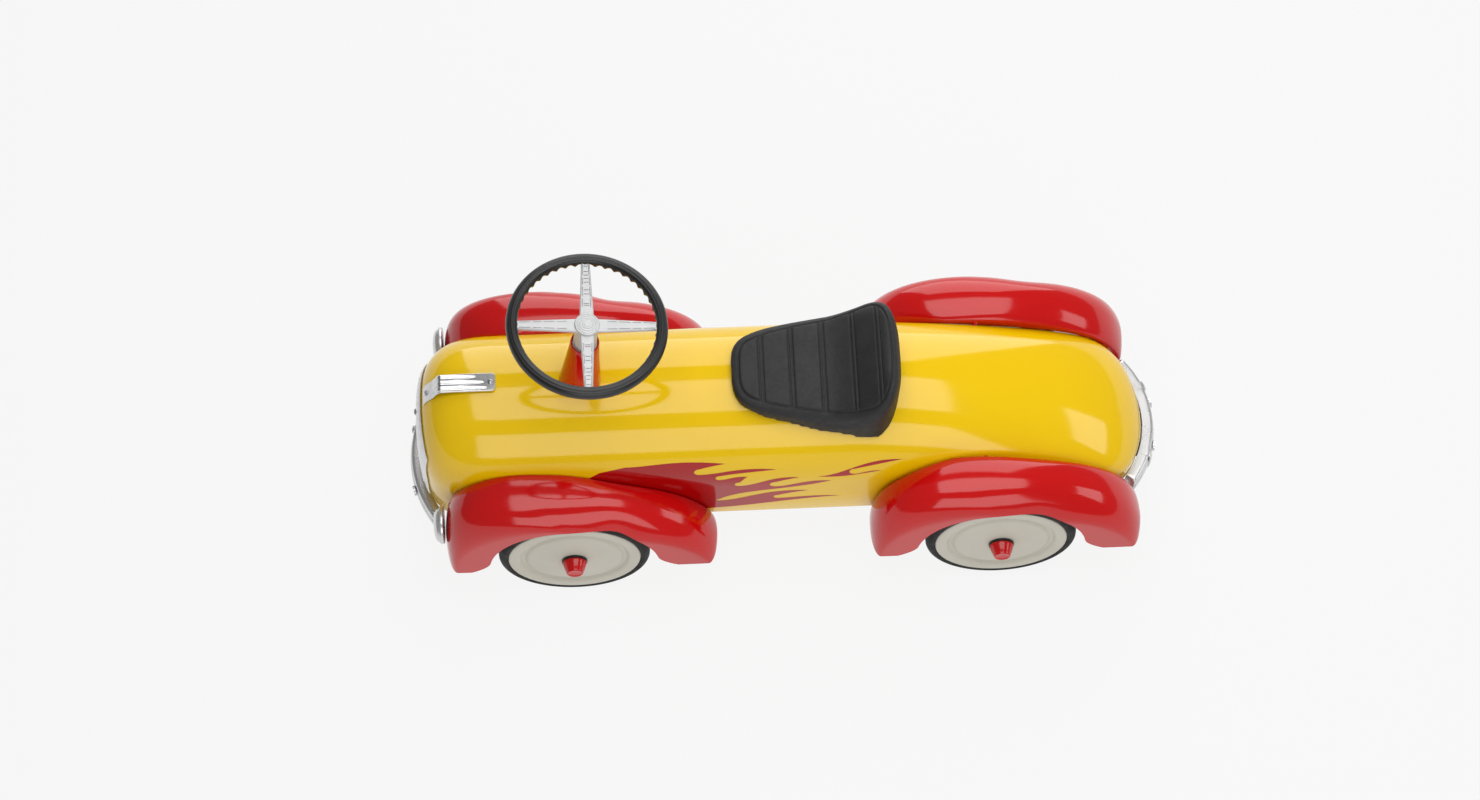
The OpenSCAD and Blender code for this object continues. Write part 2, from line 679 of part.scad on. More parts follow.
function seat_y(x) =
    let (side = blend(seat_narrow[1], seat_wide[1],
            (x - seat_narrow[0]) / (seat_wide[0] - seat_narrow[0])),
        front = ease((x - seat_front_x + seat_front_round) / seat_front_round, 3.4, 3.4),
        rear = ease((seat_rear_x + seat_rear_round - x) / seat_rear_round, 2.5, 2.5))
    side * min(front, rear);
function seat_top(x) = seat_top_z + seat_rise * pow(max(0, seat_bend_x - max(x, -103)), 1.6);
pad_square = 0.24;                // how square the pad's section is, 0 being a box
seat_end = 0.35;                 // the rows stop this far inside the two ends
function seat_x(i) = let (s = i / (seat_rows - 1))
    blend(seat_front_x - seat_end, seat_rear_x + seat_end, s - 0.75 * sin(360 * s) / (2 * PI));

// Underside of the pad: the pan's upper face, or as far above the deck where it falls away
function pad_floor(x, y) = body_top_z - shoulder_r
    + sqrt(pow(shoulder_r + pan_t + touch + pad_clear, 2) - pow(max(0, abs(y) - flat_half), 2))
    - (1 - body_rise(min(x, 0))) * (deck_z(y) - body_floor_z);

// The top is a flat-topped superellipse from edge to edge, lower towards the two ends
function pad_row(i, top) =
    let (x = seat_x(i), half = seat_y(x),
        ends = min(ease((x - seat_front_x + 12) / 12, 3, 3), ease((seat_rear_x + 14 - x) / 14, 3, 3)))
    [for (j = [0:seat_columns])
        let (c = cos(180 * j / seat_columns), y = half * c,
            floor_z = pad_floor(x, y), edge_z = pad_floor(x, half),
            crown = blend(max(edge_z, floor_z + 2.4), seat_top(x), 0.25 + 0.75 * ends))
        top ? [x, y, max(floor_z + 0.8, blend(edge_z + 2, crown, ease(abs(c), 2 / pad_square,
                2 / pad_square)))]
            : [x, y, floor_z]];

module seat_pad() {
    color("dimgray") sheet([for (i = [seat_rows - 1:-1:0]) pad_row(i, true)],
        [for (i = [seat_rows - 1:-1:0]) pad_row(i, false)]);
}

module deck_section(up) {
    for (side = [LEFT, RIGHT]) translate([side * flat_half, body_top_z - shoulder_r])
        circle(r = shoulder_r + up);
    translate([-flat_half, body_top_z - 1]) square([2 * flat_half, up + 1]);
}

module seat_pan() {
    edge = [for (i = [0:24]) let (x = blend(seat_front_x - pan_inset,
            pan_rear_x, (1 - cos(180 * i / 24)) / 2)) [x, seat_y(x) - pan_inset / 2]];
    outline = concat(edge, [for (i = [24:-1:0]) [edge[i][0], -edge[i][1]]]);
    color("dimgray") difference() {
        intersection() {
            translate([0, 0, body_top_z - 40]) linear_extrude(60) polygon(outline);
            rotate([90, 0, 90]) translate([0, 0, seat_rear_x]) linear_extrude(200) difference() {
                deck_section(pan_t + touch);
                deck_section(touch);
            }
        }
        for (x = seat_bolt_x) translate([x, 0, body_top_z - 20])
            cylinder(r = seat_bolt_r + touch, h = 40);
    }
}

module seat_bolts() {
    color("silver") for (x = seat_bolt_x) translate([x, 0, body_top_z - body_t]) {
        translate([0, 0, -3.2]) cylinder(r = 6, h = 3);
        translate([0, 0, -1]) cylinder(r = seat_bolt_r, h = 1 + body_t + pan_t);
    }
}

// ---------------------------------------------------------------- steering

cover_top_s = 224;
cover_base_r = 20;
cover_top_r = 14;
cover_t = 1.95;
upper_bush_h = 15;
boss_r = 11.5;
boss_base_s = 222;
hub_top_s = column_s(rim_z) + 2.5;
spoke_t = 5;
spoke_hub_w = 14;
spoke_rim_w = 8.6;
rim_w = 12;
rim_h = 13.5;
crank_t = 3;
pin_r = 3;
open_pivot = 0.6;
shaft_low_s = -20;

module column_cover() {
    low_s = column_s(body_top_z) - 6;
    h = cover_top_s - low_s;
    flare = cover_base_r - cover_top_r;
    color("firebrick") difference() {
        on_column(low_s) difference() {
            cylinder(r1 = cover_base_r + flare * 6 / (h - 6), r2 = cover_top_r, h = h);
            translate([0, 0, -0.01]) cylinder(r1 = cover_base_r + flare * 6 / (h - 6) - cover_t,
                r2 = cover_top_r - cover_t, h = h + 0.02);
        }
        translate([front_axle_x - 60, 0, body_top_z + 0.2 - 120]) rotate([0, 90, 0])
            cylinder(r = 120, h = 120);
    }
}

module column_upper_bush() {
    color("white") on_column(boss_base_s - gap - upper_bush_h)
        tube(cover_top_r - cover_t - touch, shaft_r + run, upper_bush_h);
}

module column_lower_bush() {
    low = -(axle_z - chassis_floor_z + beam_t) / cos(column_tilt) - 1;
    color("white") on_column(low) tube(bush_r, shaft_r + run, beam_t + plate_t + 3);
}

module steering_shaft() {
    color("silver") on_column() {
        translate([0, 0, shaft_low_s]) cylinder(r = shaft_r, h = hub_top_s - 8 - shaft_low_s);
        difference() {
            union() {
                cylinder(r = 9, h = crank_t);
                translate([-arm_len, -6, 0]) cube([arm_len, 12, crank_t]);
                translate([-arm_len, 0, 0]) cylinder(r = 6, h = crank_t);
            }
            cylinder(r = shaft_r - 1, h = crank_t);
        }
        translate([-arm_len, 0, -6.5]) cylinder(r = pin_r, h = 7);
    }
}

module steering_spokes() {
    color("silver") on_column() difference() {
        union() {
            translate([0, 0, boss_base_s]) cylinder(r = boss_r, h = hub_top_s - boss_base_s);
            for (turn = [0, 90, 180, 270]) rotate([0, 0, turn])
                translate([0, 0, hub_top_s - spoke_t]) linear_extrude(spoke_t)
                polygon([[4, -spoke_hub_w / 2], [rim_outer_r - rim_w + 2, -spoke_rim_w / 2],
                    [rim_outer_r - rim_w + 2, spoke_rim_w / 2], [4, spoke_hub_w / 2]]);
        }
        translate([0, 0, boss_base_s - 1])
            cylinder(r = shaft_r + touch, h = hub_top_s - 8 + touch - boss_base_s + 1);
    }
}

module steering_rim() {
    color("black") on_column(column_s(rim_z)) rotate_extrude()
        translate([rim_outer_r - rim_w / 2, 0]) union() {
            circle(r = rim_w / 2);
            translate([0, (rim_h - rim_w) / 2]) circle(r = rim_w / 2);
            translate([0, -(rim_h - rim_w) / 2]) circle(r = rim_w / 2);
        }
}

module steering_cap() {
    color("silver") on_column(hub_top_s + touch) {
        cylinder(r = boss_r + 0.5, h = 1.6);
        translate([0, 0, 1.6]) cylinder(r = 8.5, h = 0.7);
        translate([0, 0, 2.3]) cylinder(r = 3.5, h = 0.7);
    }
}

arm_w = 9;
arm_z = 64.4;
arm_t = 3;
rod_z = 68;
rod_t = 3.2;
barrel_r = 7;
collar_y = 107;

module knuckle(side) {
    low = chassis_floor_z - touch + gap;
    high = yoke_top_z - gap;
    color("silver") translate([front_axle_x, side * kingpin_y, 0]) difference() {
        union() {
            translate([0, 0, low]) cylinder(r = barrel_r, h = high - low);
            translate([0, 0, axle_z]) rotate([-90 * side, 0, 0])
                cylinder(r = shaft_r, h = axle_end_y - kingpin_y);
            translate([0, 0, axle_z]) rotate([-90 * side, 0, 0])
                cylinder(r = 8, h = collar_y - kingpin_y);
            translate([-arm_len, -arm_w / 2, arm_z]) cube([arm_len, arm_w, arm_t]);
            translate([-arm_len, 0, arm_z]) cylinder(r = arm_w / 2, h = arm_t);
            translate([-arm_len, 0, arm_z]) cylinder(r = pin_r, h = rod_z + rod_t + 2 - arm_z);
        }
        cylinder(r = kingpin_r + run, h = 120);
    }
}

module knuckle_left() { knuckle(LEFT); }
module knuckle_right() { knuckle(RIGHT); }

module tie_rod() {
    rod_x = front_axle_x - arm_len;
    crank_x = front_axle_x - arm_len * cos(column_tilt) + tan(column_tilt)
        * (axle_z - arm_len * sin(column_tilt) - rod_z - rod_t / 2);
    color("silver") difference() {
        union() {
            translate([rod_x - 5, -kingpin_y, rod_z]) cube([10, 2 * kingpin_y, rod_t]);
            for (side = [LEFT, RIGHT]) translate([rod_x, side * kingpin_y, rod_z])
                cylinder(r = 6, h = rod_t);
        }
        translate([rod_x, kingpin_y, rod_z - 1]) cylinder(r = pin_r + run, h = rod_t + 2);
        translate([rod_x, -kingpin_y, rod_z - 1]) cylinder(r = pin_r + 0.3, h = rod_t + 2);
        translate([crank_x, 0, rod_z - 1]) cylinder(r = pin_r + open_pivot, h = rod_t + 2);
    }
}

// ---------------------------------------------------------------- wheels

disc_t = 1.5;
flange_in = 13;
band_r = 54;                 // inner edge of the disc's flat outer band
groove_r = 50;
groove_d = 1.6;
dome_h = 0.8;                // the disc's middle stands this far past its outer band
hub_r = 10;
hub_in_y = 108;
hub_out_y = 131;
tyre_corner = 8;
washer_r = 12.8;
cap_y = [133.3, 146];
cap_r = [12, 7.7];

// Turns a profile given as [radius, distance from the centre plane] into a wheel part
module turned(x, side) {
    translate([x, 0, axle_z]) mirror([0, side > 0 ? 0 : 1, 0]) rotate([-90, 0, 0])
        rotate_extrude() children();
}

module wheel_disc(x, side) {
    face = disc_face_y;
    outer = [[hub_r - 0.5, face + dome_h], [24, face + 0.5], [38, face - 0.6],
        [groove_r - 2, face - 1.3], [groove_r, face - groove_d],
        [groove_r + 1.5, face - groove_d], [band_r, face - 0.2], [disc_r - 4, face],
        [disc_r - 1.2, face - 0.4], [disc_r, face - 1.6]];
    color("antiquewhite") turned(x, side) {
        polygon(concat([[disc_r, face - flange_in]], [[disc_r - disc_t, face - flange_in]],
            [for (i = [len(outer) - 1:-1:0])
                [min(outer[i][0], disc_r - disc_t), outer[i][1] - disc_t]],
            outer));
        translate([bush_r + touch, hub_in_y]) square([hub_r - bush_r - touch, hub_out_y - hub_in_y]);
    }
}

module tyre(x, side) {
    inner = disc_r + touch;
    color("black") turned(x, side) translate([0, disc_face_y - tyre_w]) intersection() {
        union() {
            translate([inner, 0]) square([tyre_r - tyre_corner - inner, tyre_w]);
            translate([inner, tyre_corner]) square([tyre_r - inner, tyre_w - 2 * tyre_corner]);
            for (y = [tyre_corner, tyre_w - tyre_corner])
                translate([tyre_r - tyre_corner, y]) circle(r = tyre_corner);
        }
        translate([inner, 0]) square([tyre_r, tyre_w]);
    }
}

module wheel_bush(x, side) {
    color("white") turned(x, side) translate([shaft_r + run, hub_in_y - 0.5])
        square([bush_r - shaft_r - run, hub_out_y - hub_in_y + 0.5]);
}

module hub_cap(x, side) {
    color("firebrick") turned(x, side) difference() {
        polygon([[0, cap_y[0] + touch], [cap_r[0], cap_y[0] + touch], [cap_r[0], cap_y[0] + 1],
            [cap_r[1], cap_y[1] - 1], [cap_r[1] - 1, cap_y[1]], [0, cap_y[1]]]);
        square([shaft_r + touch, axle_end_y + touch]);
    }
}

module washer(x, side) {
    color("black") turned(x, side) translate([shaft_r + touch, hub_out_y + gap])
        square([washer_r - shaft_r - touch, cap_y[0] - hub_out_y - gap]);
}

module wheel_front_left() { wheel_disc(front_axle_x, LEFT); }
module wheel_front_right() { wheel_disc(front_axle_x, RIGHT); }
module wheel_rear_left() { wheel_disc(-rear_axle_x, LEFT); }
module wheel_rear_right() { wheel_disc(-rear_axle_x, RIGHT); }
module tyre_front_left() { tyre(front_axle_x, LEFT); }
module tyre_front_right() { tyre(front_axle_x, RIGHT); }
module tyre_rear_left() { tyre(-rear_axle_x, LEFT); }
module tyre_rear_right() { tyre(-rear_axle_x, RIGHT); }
module bush_front_left() { wheel_bush(front_axle_x, LEFT); }
module bush_front_right() { wheel_bush(front_axle_x, RIGHT); }
module bush_rear_left() { wheel_bush(-rear_axle_x, LEFT); }
module bush_rear_right() { wheel_bush(-rear_axle_x, RIGHT); }
module hub_cap_front_left() { hub_cap(front_axle_x, LEFT); }
module hub_cap_front_right() { hub_cap(front_axle_x, RIGHT); }
module hub_cap_rear_left() { hub_cap(-rear_axle_x, LEFT); }
module hub_cap_rear_right() { hub_cap(-rear_axle_x, RIGHT); }
module washer_front_left() { washer(front_axle_x, LEFT); }
module washer_front_right() { washer(front_axle_x, RIGHT); }
module washers_rear() {
    washer(-rear_axle_x, LEFT);
    washer(-rear_axle_x, RIGHT);
}

body_shell();
front_crossmember();
rear_crossmember();
crossmember_rivets();
front_axle_beam();
kingpins();
rear_axle();
fender_front_left();
fender_front_right();
fender_rear_left();
fender_rear_right();
fender_rivets();
grille();
grille_screws();
hood_ornament();
ornament_screws();
front_bumper();
rear_bumper();
rear_overriders();
bumper_bars();
bumper_bolts();
bar_bolts();
headlight_left();
headlight_right();
headlight_nuts();
seat_pan();
seat_pad();
seat_bolts();
column_cover();
column_upper_bush();
column_lower_bush();
steering_shaft();
steering_spokes();
steering_rim();
steering_cap();
knuckle_left();
knuckle_right();
tie_rod();
wheel_front_left();
wheel_front_right();
wheel_rear_left();
wheel_rear_right();
tyre_front_left();
tyre_front_right();
tyre_rear_left();
tyre_rear_right();
bush_front_left();
bush_front_right();
bush_rear_left();
bush_rear_right();
hub_cap_front_left();
hub_cap_front_right();
hub_cap_rear_left();
hub_cap_rear_right();
washer_front_left();
washer_front_right();
washers_rear();
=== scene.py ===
import json
import math
import bmesh
import bpy
import numpy as np
from mathutils import Matrix, Vector
from mathutils.geometry import delaunay_2d_cdt


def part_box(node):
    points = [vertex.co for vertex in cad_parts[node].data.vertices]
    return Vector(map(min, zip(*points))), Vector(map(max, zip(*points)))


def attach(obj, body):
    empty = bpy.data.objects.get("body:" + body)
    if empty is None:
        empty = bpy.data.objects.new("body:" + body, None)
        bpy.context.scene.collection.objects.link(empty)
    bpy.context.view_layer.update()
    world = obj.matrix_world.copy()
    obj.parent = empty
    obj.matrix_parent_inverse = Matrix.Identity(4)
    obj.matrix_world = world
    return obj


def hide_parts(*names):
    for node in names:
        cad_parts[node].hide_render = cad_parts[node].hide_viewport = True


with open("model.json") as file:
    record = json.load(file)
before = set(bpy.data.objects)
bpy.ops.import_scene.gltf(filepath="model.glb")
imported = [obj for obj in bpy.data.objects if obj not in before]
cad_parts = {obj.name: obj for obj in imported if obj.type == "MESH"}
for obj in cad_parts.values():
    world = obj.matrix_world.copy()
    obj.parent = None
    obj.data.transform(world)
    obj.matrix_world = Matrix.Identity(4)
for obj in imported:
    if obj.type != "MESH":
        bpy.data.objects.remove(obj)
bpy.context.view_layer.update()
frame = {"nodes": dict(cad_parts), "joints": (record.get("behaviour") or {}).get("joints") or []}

MM = 0.001
LEFT, RIGHT = 1, -1


def blend(a, b, t):
    return a + (b - a) * t


def clamp01(v):
    return max(0.0, min(1.0, v))


def ease(u, n, m):
    return (1 - clamp01(u) ** n) ** (1 / m)


def signed_power(v, e):
    return math.copysign(abs(v) ** e, v)


# ---------------------------------------------------------------- mesh tools

class Shape:
    """Collects grids, rings and tubes of points into one mesh."""

    def __init__(self):
        self.points, self.faces = [], []

    def grid(self, rows, wrap_rows=False, wrap_cols=False):
        base, n, m = len(self.points), len(rows), len(rows[0])
        for row in rows:
            self.points.extend(Vector(p) for p in row)
        for i in range(n if wrap_rows else n - 1):
            for j in range(m if wrap_cols else m - 1):
                self.faces.append((base + i * m + j, base + i * m + (j + 1) % m,
                                   base + (i + 1) % n * m + (j + 1) % m, base + (i + 1) % n * m + j))
        return base

    def lid(self, first, count):
        """Closes a ring of count points with one face."""
        self.faces.append(tuple(range(first, first + count)))

    def lathe(self, profile, centre, axis, steps=128, closed=False):
        """Turns (radius, height) points about an axis through centre."""
        axis = Vector(axis).normalized()
        side = axis.orthogonal().normalized()
        up = axis.cross(side)
        rows = []
        for i in range(steps):
            a = 2 * math.pi * i / steps
            out = side * math.cos(a) + up * math.sin(a)
            rows.append([Vector(centre) + out * r + axis * h for r, h in profile])
        self.grid(rows, wrap_rows=True, wrap_cols=closed)

    def tube(self, path, radius, sides=10):
        """A round bead along a path of points, with closed ends."""
        rows = []
        for i, p in enumerate(path):
            along = (path[min(i + 1, len(path) - 1)] - path[max(i - 1, 0)]).normalized()
            side = along.cross(Vector((0, 0, 1)))
            side = (side if side.length > 0.05 else along.orthogonal()).normalized()
            up = side.cross(along)
            rows.append([p + (side * math.cos(a) + up * math.sin(a)) * radius
                         for a in (2 * math.pi * k / sides for k in range(sides))])
        base = self.grid(rows, wrap_cols=True)
        self.lid(base, sides)
        self.lid(base + (len(path) - 1) * sides, sides)

    def build(self, name, material, body, slot, replaces=(), sharp=35, thickness=0, bevel=0,
              outward=None):
        mesh = bpy.data.meshes.new(name)
        mesh.from_pydata(self.points, [], self.faces)
        bm = bmesh.new()
        bm.from_mesh(mesh)
        bmesh.ops.remove_doubles(bm, verts=bm.verts, dist=1e-6)
        bmesh.ops.recalc_face_normals(bm, faces=bm.faces)
        if outward is not None:
            bm.faces.ensure_lookup_table()
            sense = sum((f.normal.dot(outward(f.calc_center_median())) * f.calc_area()) for f in bm.faces)
            if sense < 0:
                bmesh.ops.reverse_faces(bm, faces=bm.faces)
        bm.to_mesh(mesh)
        bm.free()
        piece = bpy.data.objects.new(name, mesh)
        bpy.context.collection.objects.link(piece)
        if thickness:
            solid = piece.modifiers.new("sheet", "SOLIDIFY")
            solid.thickness, solid.offset, solid.use_even_offset = thickness, -1, True
        if bevel:
            soft = piece.modifiers.new("edges", "BEVEL")
            soft.width, soft.segments, soft.limit_method = bevel, 2, "ANGLE"
            soft.angle_limit = math.radians(50)
        bake_modifiers(piece)
        piece.data.shade_smooth()
        piece.data.set_sharp_from_angle(angle=math.radians(sharp))
        dress(piece, material, body, replaces)
        return piece


def bake_modifiers(piece):
    if not piece.modifiers:
        return
    graph = bpy.context.evaluated_depsgraph_get()
    graph.update()
    mesh = bpy.data.meshes.new_from_object(piece.evaluated_get(graph))
    piece.modifiers.clear()
    piece.data = mesh


def dress(piece, material, body, replaces=()):
    piece.data.materials.clear()
    piece.data.materials.append(material)
    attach(piece, body)
    if replaces:
        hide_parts(*replaces)


# ---------------------------------------------------------------- materials

def add(tree, kind, **inputs):
    node = tree.nodes.new(kind)
    for key, value in inputs.items():
        node.inputs[key.replace("_", " ")].default_value = value
    return node


def finish(name, colour, tint, rough, rough_to, mottle=9, grain=600, bump=0.02, metallic=0,
           coat=0, coat_rough=0.03, specular=0.5, cells=0, cell_bump=0):
    """A procedural finish: colour mottled towards tint, uneven roughness and a fine grain."""
    material = bpy.data.materials.new(name)
    material.use_nodes = True
    tree = material.node_tree
    shader = tree.nodes["Principled BSDF"]
    shader.inputs["Metallic"].default_value = metallic
    shader.inputs["Coat Weight"].default_value = coat
    shader.inputs["Coat Roughness"].default_value = coat_rough
    shader.inputs["Specular IOR Level"].default_value = specular
    where = tree.nodes.new("ShaderNodeTexCoord").outputs["Object"]

    def noise(scale, detail):
        node = add(tree, "ShaderNodeTexNoise", Scale=scale, Detail=detail, Roughness=0.55)
        tree.links.new(where, node.inputs["Vector"])
        return node.outputs["Fac"]

    ramp = tree.nodes.new("ShaderNodeValToRGB")
    ramp.color_ramp.elements[0].position, ramp.color_ramp.elements[1].position = 0.3, 0.7
    ramp.color_ramp.elements[0].color = (*colour, 1)
    ramp.color_ramp.elements[1].color = (*tint, 1)
    tree.links.new(noise(mottle, 4), ramp.inputs["Fac"])
    tree.links.new(ramp.outputs["Color"], shader.inputs["Base Color"])
    spread = add(tree, "ShaderNodeMapRange", From_Min=0.3, From_Max=0.7, To_Min=rough, To_Max=rough_to)
    tree.links.new(noise(mottle * 4, 3), spread.inputs["Value"])
    tree.links.new(spread.outputs["Result"], shader.inputs["Roughness"])
    fine = add(tree, "ShaderNodeBump", Strength=bump, Distance=0.0004)
    tree.links.new(noise(grain, 2), fine.inputs["Height"])
    if cells:
        pattern = add(tree, "ShaderNodeTexVoronoi", Scale=cells)
        pattern.feature = "DISTANCE_TO_EDGE"
        tree.links.new(where, pattern.inputs["Vector"])
        level = add(tree, "ShaderNodeMapRange", From_Min=0, From_Max=0.25, To_Min=0, To_Max=1)
        tree.links.new(pattern.outputs["Distance"], level.inputs["Value"])
        second = add(tree, "ShaderNodeBump", Strength=cell_bump, Distance=0.0004)
        tree.links.new(level.outputs["Result"], second.inputs["Height"])
        tree.links.new(fine.outputs["Normal"], second.inputs["Normal"])
        fine = second
    tree.links.new(fine.outputs["Normal"], shader.inputs["Normal"])
    return material


YELLOW = finish("yellow_enamel", (0.80, 0.515, 0.0008), (0.755, 0.48, 0.0006), 0.17, 0.23,
                mottle=5, grain=260, bump=0.03, coat=1.0, coat_rough=0.10, specular=0)
RED = finish("red_enamel", (0.53, 0.0026, 0.0030), (0.485, 0.0022, 0.0026), 0.16, 0.22,
             mottle=6, grain=260, bump=0.03, coat=1.0, coat_rough=0.11, specular=0)
FLAME = finish("flame_decal", (0.37, 0.0010, 0.0014), (0.33, 0.0008, 0.0010), 0.2, 0.26,
               mottle=8, grain=300, bump=0.03, coat=1.0, coat_rough=0.07, specular=0)
CREAM = finish("cream_enamel", (0.56, 0.53, 0.455), (0.525, 0.495, 0.42), 0.5, 0.6,
               mottle=14, grain=420, bump=0.05, coat=0.1, coat_rough=0.35, specular=0.2)
CHROME = finish("chrome", (0.66, 0.66, 0.66), (0.60, 0.60, 0.605), 0.26, 0.34,
                mottle=20, grain=500, bump=0.02, metallic=0.72, coat=0.5, coat_rough=0.12)
BRIGHT = finish("bright_chrome", (0.62, 0.62, 0.625), (0.57, 0.57, 0.575), 0.12, 0.18,
                mottle=20, grain=500, bump=0.02, metallic=0.95)
SILVER = finish("cast_silver", (0.57, 0.57, 0.575), (0.52, 0.52, 0.525), 0.38, 0.48,
                mottle=40, grain=900, bump=0.10, metallic=0.3, coat=0.15, coat_rough=0.2)
# Dark grey for the spokes' engraved tick marks and edge lines: painted shade of the grooves, laid on as fine
# dark beads rather than cut into the casting
GROOVE_SHADE = finish("painted_groove_shade", (0.20, 0.20, 0.205), (0.16, 0.16, 0.165), 0.5, 0.6,
              mottle=40, grain=900, bump=0.1, metallic=0.3)
ZINC = finish("zinc_plate", (0.52, 0.52, 0.54), (0.40, 0.41, 0.43), 0.28, 0.42,
              mottle=60, grain=700, bump=0.12, metallic=1)
CHASSIS = finish("chassis_black", (0.03, 0.03, 0.033), (0.018, 0.018, 0.02), 0.4, 0.55,
                 mottle=25, grain=500, bump=0.15, coat=0.2)
BLACK = finish("black_plastic", (0.010, 0.010, 0.0105), (0.006, 0.006, 0.0065), 0.3, 0.4,
               mottle=30, grain=900, bump=0.10, coat=0.0, specular=0.45)
NYLON = finish("nylon", (0.72, 0.70, 0.64), (0.62, 0.60, 0.54), 0.45, 0.6,
               mottle=50, grain=800, bump=0.1)
RUBBER = finish("tyre_rubber", (0.016, 0.016, 0.016), (0.009, 0.009, 0.009), 0.55, 0.75,
                mottle=30, grain=1400, bump=0.3, specular=0.25)
LEATHER = finish("grained_vinyl", (0.013, 0.013, 0.0135), (0.008, 0.008, 0.009), 0.46, 0.6,
                 mottle=60, grain=1500, bump=0.25, specular=0.4, cells=900, cell_bump=0.3)


# ---------------------------------------------------------------- body

body_lo, body_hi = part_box("body_shell")
HALF_W, FLOOR, TOP = body_hi.y, body_lo.z, body_hi.z
NOSE, TAIL = body_hi.x, -body_lo.x
SHOULDER = 80 * MM
FLAT_HALF = HALF_W - SHOULDER
WALL_H = TOP - FLOOR - SHOULDER
NOSE_START, PLAN_START, DROP_START = 275 * MM, 180 * MM, 60 * MM
SHEET = 1.8 * MM


def body_plan(x):
    if x > 0:
        return ease((x - NOSE_START) / (NOSE - NOSE_START), 3.2, 3.2)
    return ease((-x - PLAN_START) / (TAIL - PLAN_START), 8, 1.6)


def body_rise(x):
    if x > 0:
        return ease((x - NOSE_START) / (NOSE - NOSE_START), 4.9, 4.9)
    return ease((-x - DROP_START) / (TAIL - DROP_START), 1.47, 1.93)


def body_y(x, z):
    """Half width of the body at height z of the section at x."""
    h = (z - FLOOR) / max(1e-4, body_rise(x))
    s = clamp01((h - WALL_H) / SHOULDER)
    return body_plan(x) * (FLAT_HALF + SHOULDER * math.sqrt(1 - s * s))


def deck_z(y):
    over = max(0.0, abs(y) - FLAT_HALF)
    return TOP - SHOULDER + math.sqrt(max(0.0, SHOULDER ** 2 - over ** 2))


def body_section(x, steps=44):
    half = [(HALF_W, 0.0), (HALF_W, WALL_H * 0.5)]
    half += [(FLAT_HALF + SHOULDER * math.cos(a), WALL_H + SHOULDER * math.sin(a))
             for a in (0.5 * math.pi * i / steps for i in range(steps + 1))]
    loop = half + [(-y, z) for y, z in reversed(half)]
    return [Vector((x, y * body_plan(x), FLOOR + z * body_rise(x))) for y, z in loop]


def body_stations():
    tail = [-blend(DROP_START, TAIL, 0.9999 * (1 - (i / 90) ** 2.4)) for i in range(91)]
    middle = [blend(-DROP_START, NOSE_START, i / 20) for i in range(1, 20)]
    nose = [blend(NOSE_START, NOSE, 0.9999 * (1 - (i / 70) ** 2.4)) for i in range(70, -1, -1)]
    return tail + middle + nose


def make_body():
    shape = Shape()
    stations = body_stations()
    base = shape.grid([body_section(x) for x in stations])
    cols = len(body_section(0))
    shape.lid(base, cols)
    shape.lid(base + (len(stations) - 1) * cols, cols)
    middle = Vector((0, 0, FLOOR + 0.05))
    shape.build("body_skin", YELLOW, "chassis", "body_paint", ["body_shell"], sharp=50,
                thickness=SHEET, bevel=0.3 * MM, outward=lambda p: p - middle)


# ---------------------------------------------------------------- flames

def arc(centre, start, sweep, steps):
    """Points on an ellipse quarter: centre, the vector to its start and the one to its end."""
    return [centre + start * math.cos(a) + sweep * math.sin(a)
            for a in (0.5 * math.pi * i / steps for i in range(steps + 1))]


def lick(a, b, pull_a, pull_b, rise_a=0.0, rise_b=0.0, steps=22):
    """A smooth S from a to b, leaving and arriving along X or, with a rise, over a hump."""
    reach = b.x - a.x
    p = [a, a + Vector((reach * pull_a, rise_a)), b + Vector((-reach * pull_b, rise_b)), b]
    out = []
    for i in range(steps + 1):
        t = i / steps
        w = [(1 - t) ** 3, 3 * t * (1 - t) ** 2, 3 * t * t * (1 - t), t ** 3]
        out.append(sum((q * k for q, k in zip(p, w)), Vector((0, 0))))
    return out


def flame_outline(start, tongues, end):
    """tongues is a list of (tip, inlet below it, half height of the inlet, belly of the lower
    edge). A tongue's upper edge comes from the inlet above it over a hump in proportion to its
    length, and every inlet has a round head."""
    path, here = [], start
    for tip, inlet, r, belly in tongues:
        path += lick(here, tip, 0.3, 0.52, 0, 0.07 * abs(tip.x - here.x))
        if inlet is None:
            here = tip
            continue
        head = Vector((inlet.x - 1.3 * r, inlet.y))
        path += lick(tip, head + Vector((0, r)), 0.38, 0.22, -0.85 * belly, belly)[1:]
        path += arc(head, Vector((0, r)), Vector((1.3 * r, 0)), 8)[1:]
        path += arc(head, Vector((1.3 * r, 0)), Vector((0, -r)), 8)[1:]
        here = head - Vector((0, r))
    path += lick(here, end, 0.35, 0.45, -3 * MM, -4 * MM)[1:]
    return path


def make_flame(name, outline, side):
    lift = 0.12 * MM
    xs, zs = [p.x for p in outline], [p.y for p in outline]
    step = 3 * MM
    inner = [Vector((x * step, z * step))
             for x in range(int(min(xs) / step), int(max(xs) / step) + 1)
             for z in range(int(min(zs) / step), int(max(zs) / step) + 1)]
    n = len(outline)
    found = delaunay_2d_cdt(outline + inner, [], [list(range(n))], 1, 1e-7)
    shape = Shape()
    shape.points = [Vector((p.x, side * (body_y(p.x, p.y) + lift), p.y)) for p in found[0]]
    shape.faces = [tuple(f) for f in found[2]]
    shape.build(name, FLAME, "chassis", "red_paint", sharp=60,
                outward=lambda p: Vector((0, side, 0.3)))


def mm(x, z):
    return Vector((x * MM, z * MM))


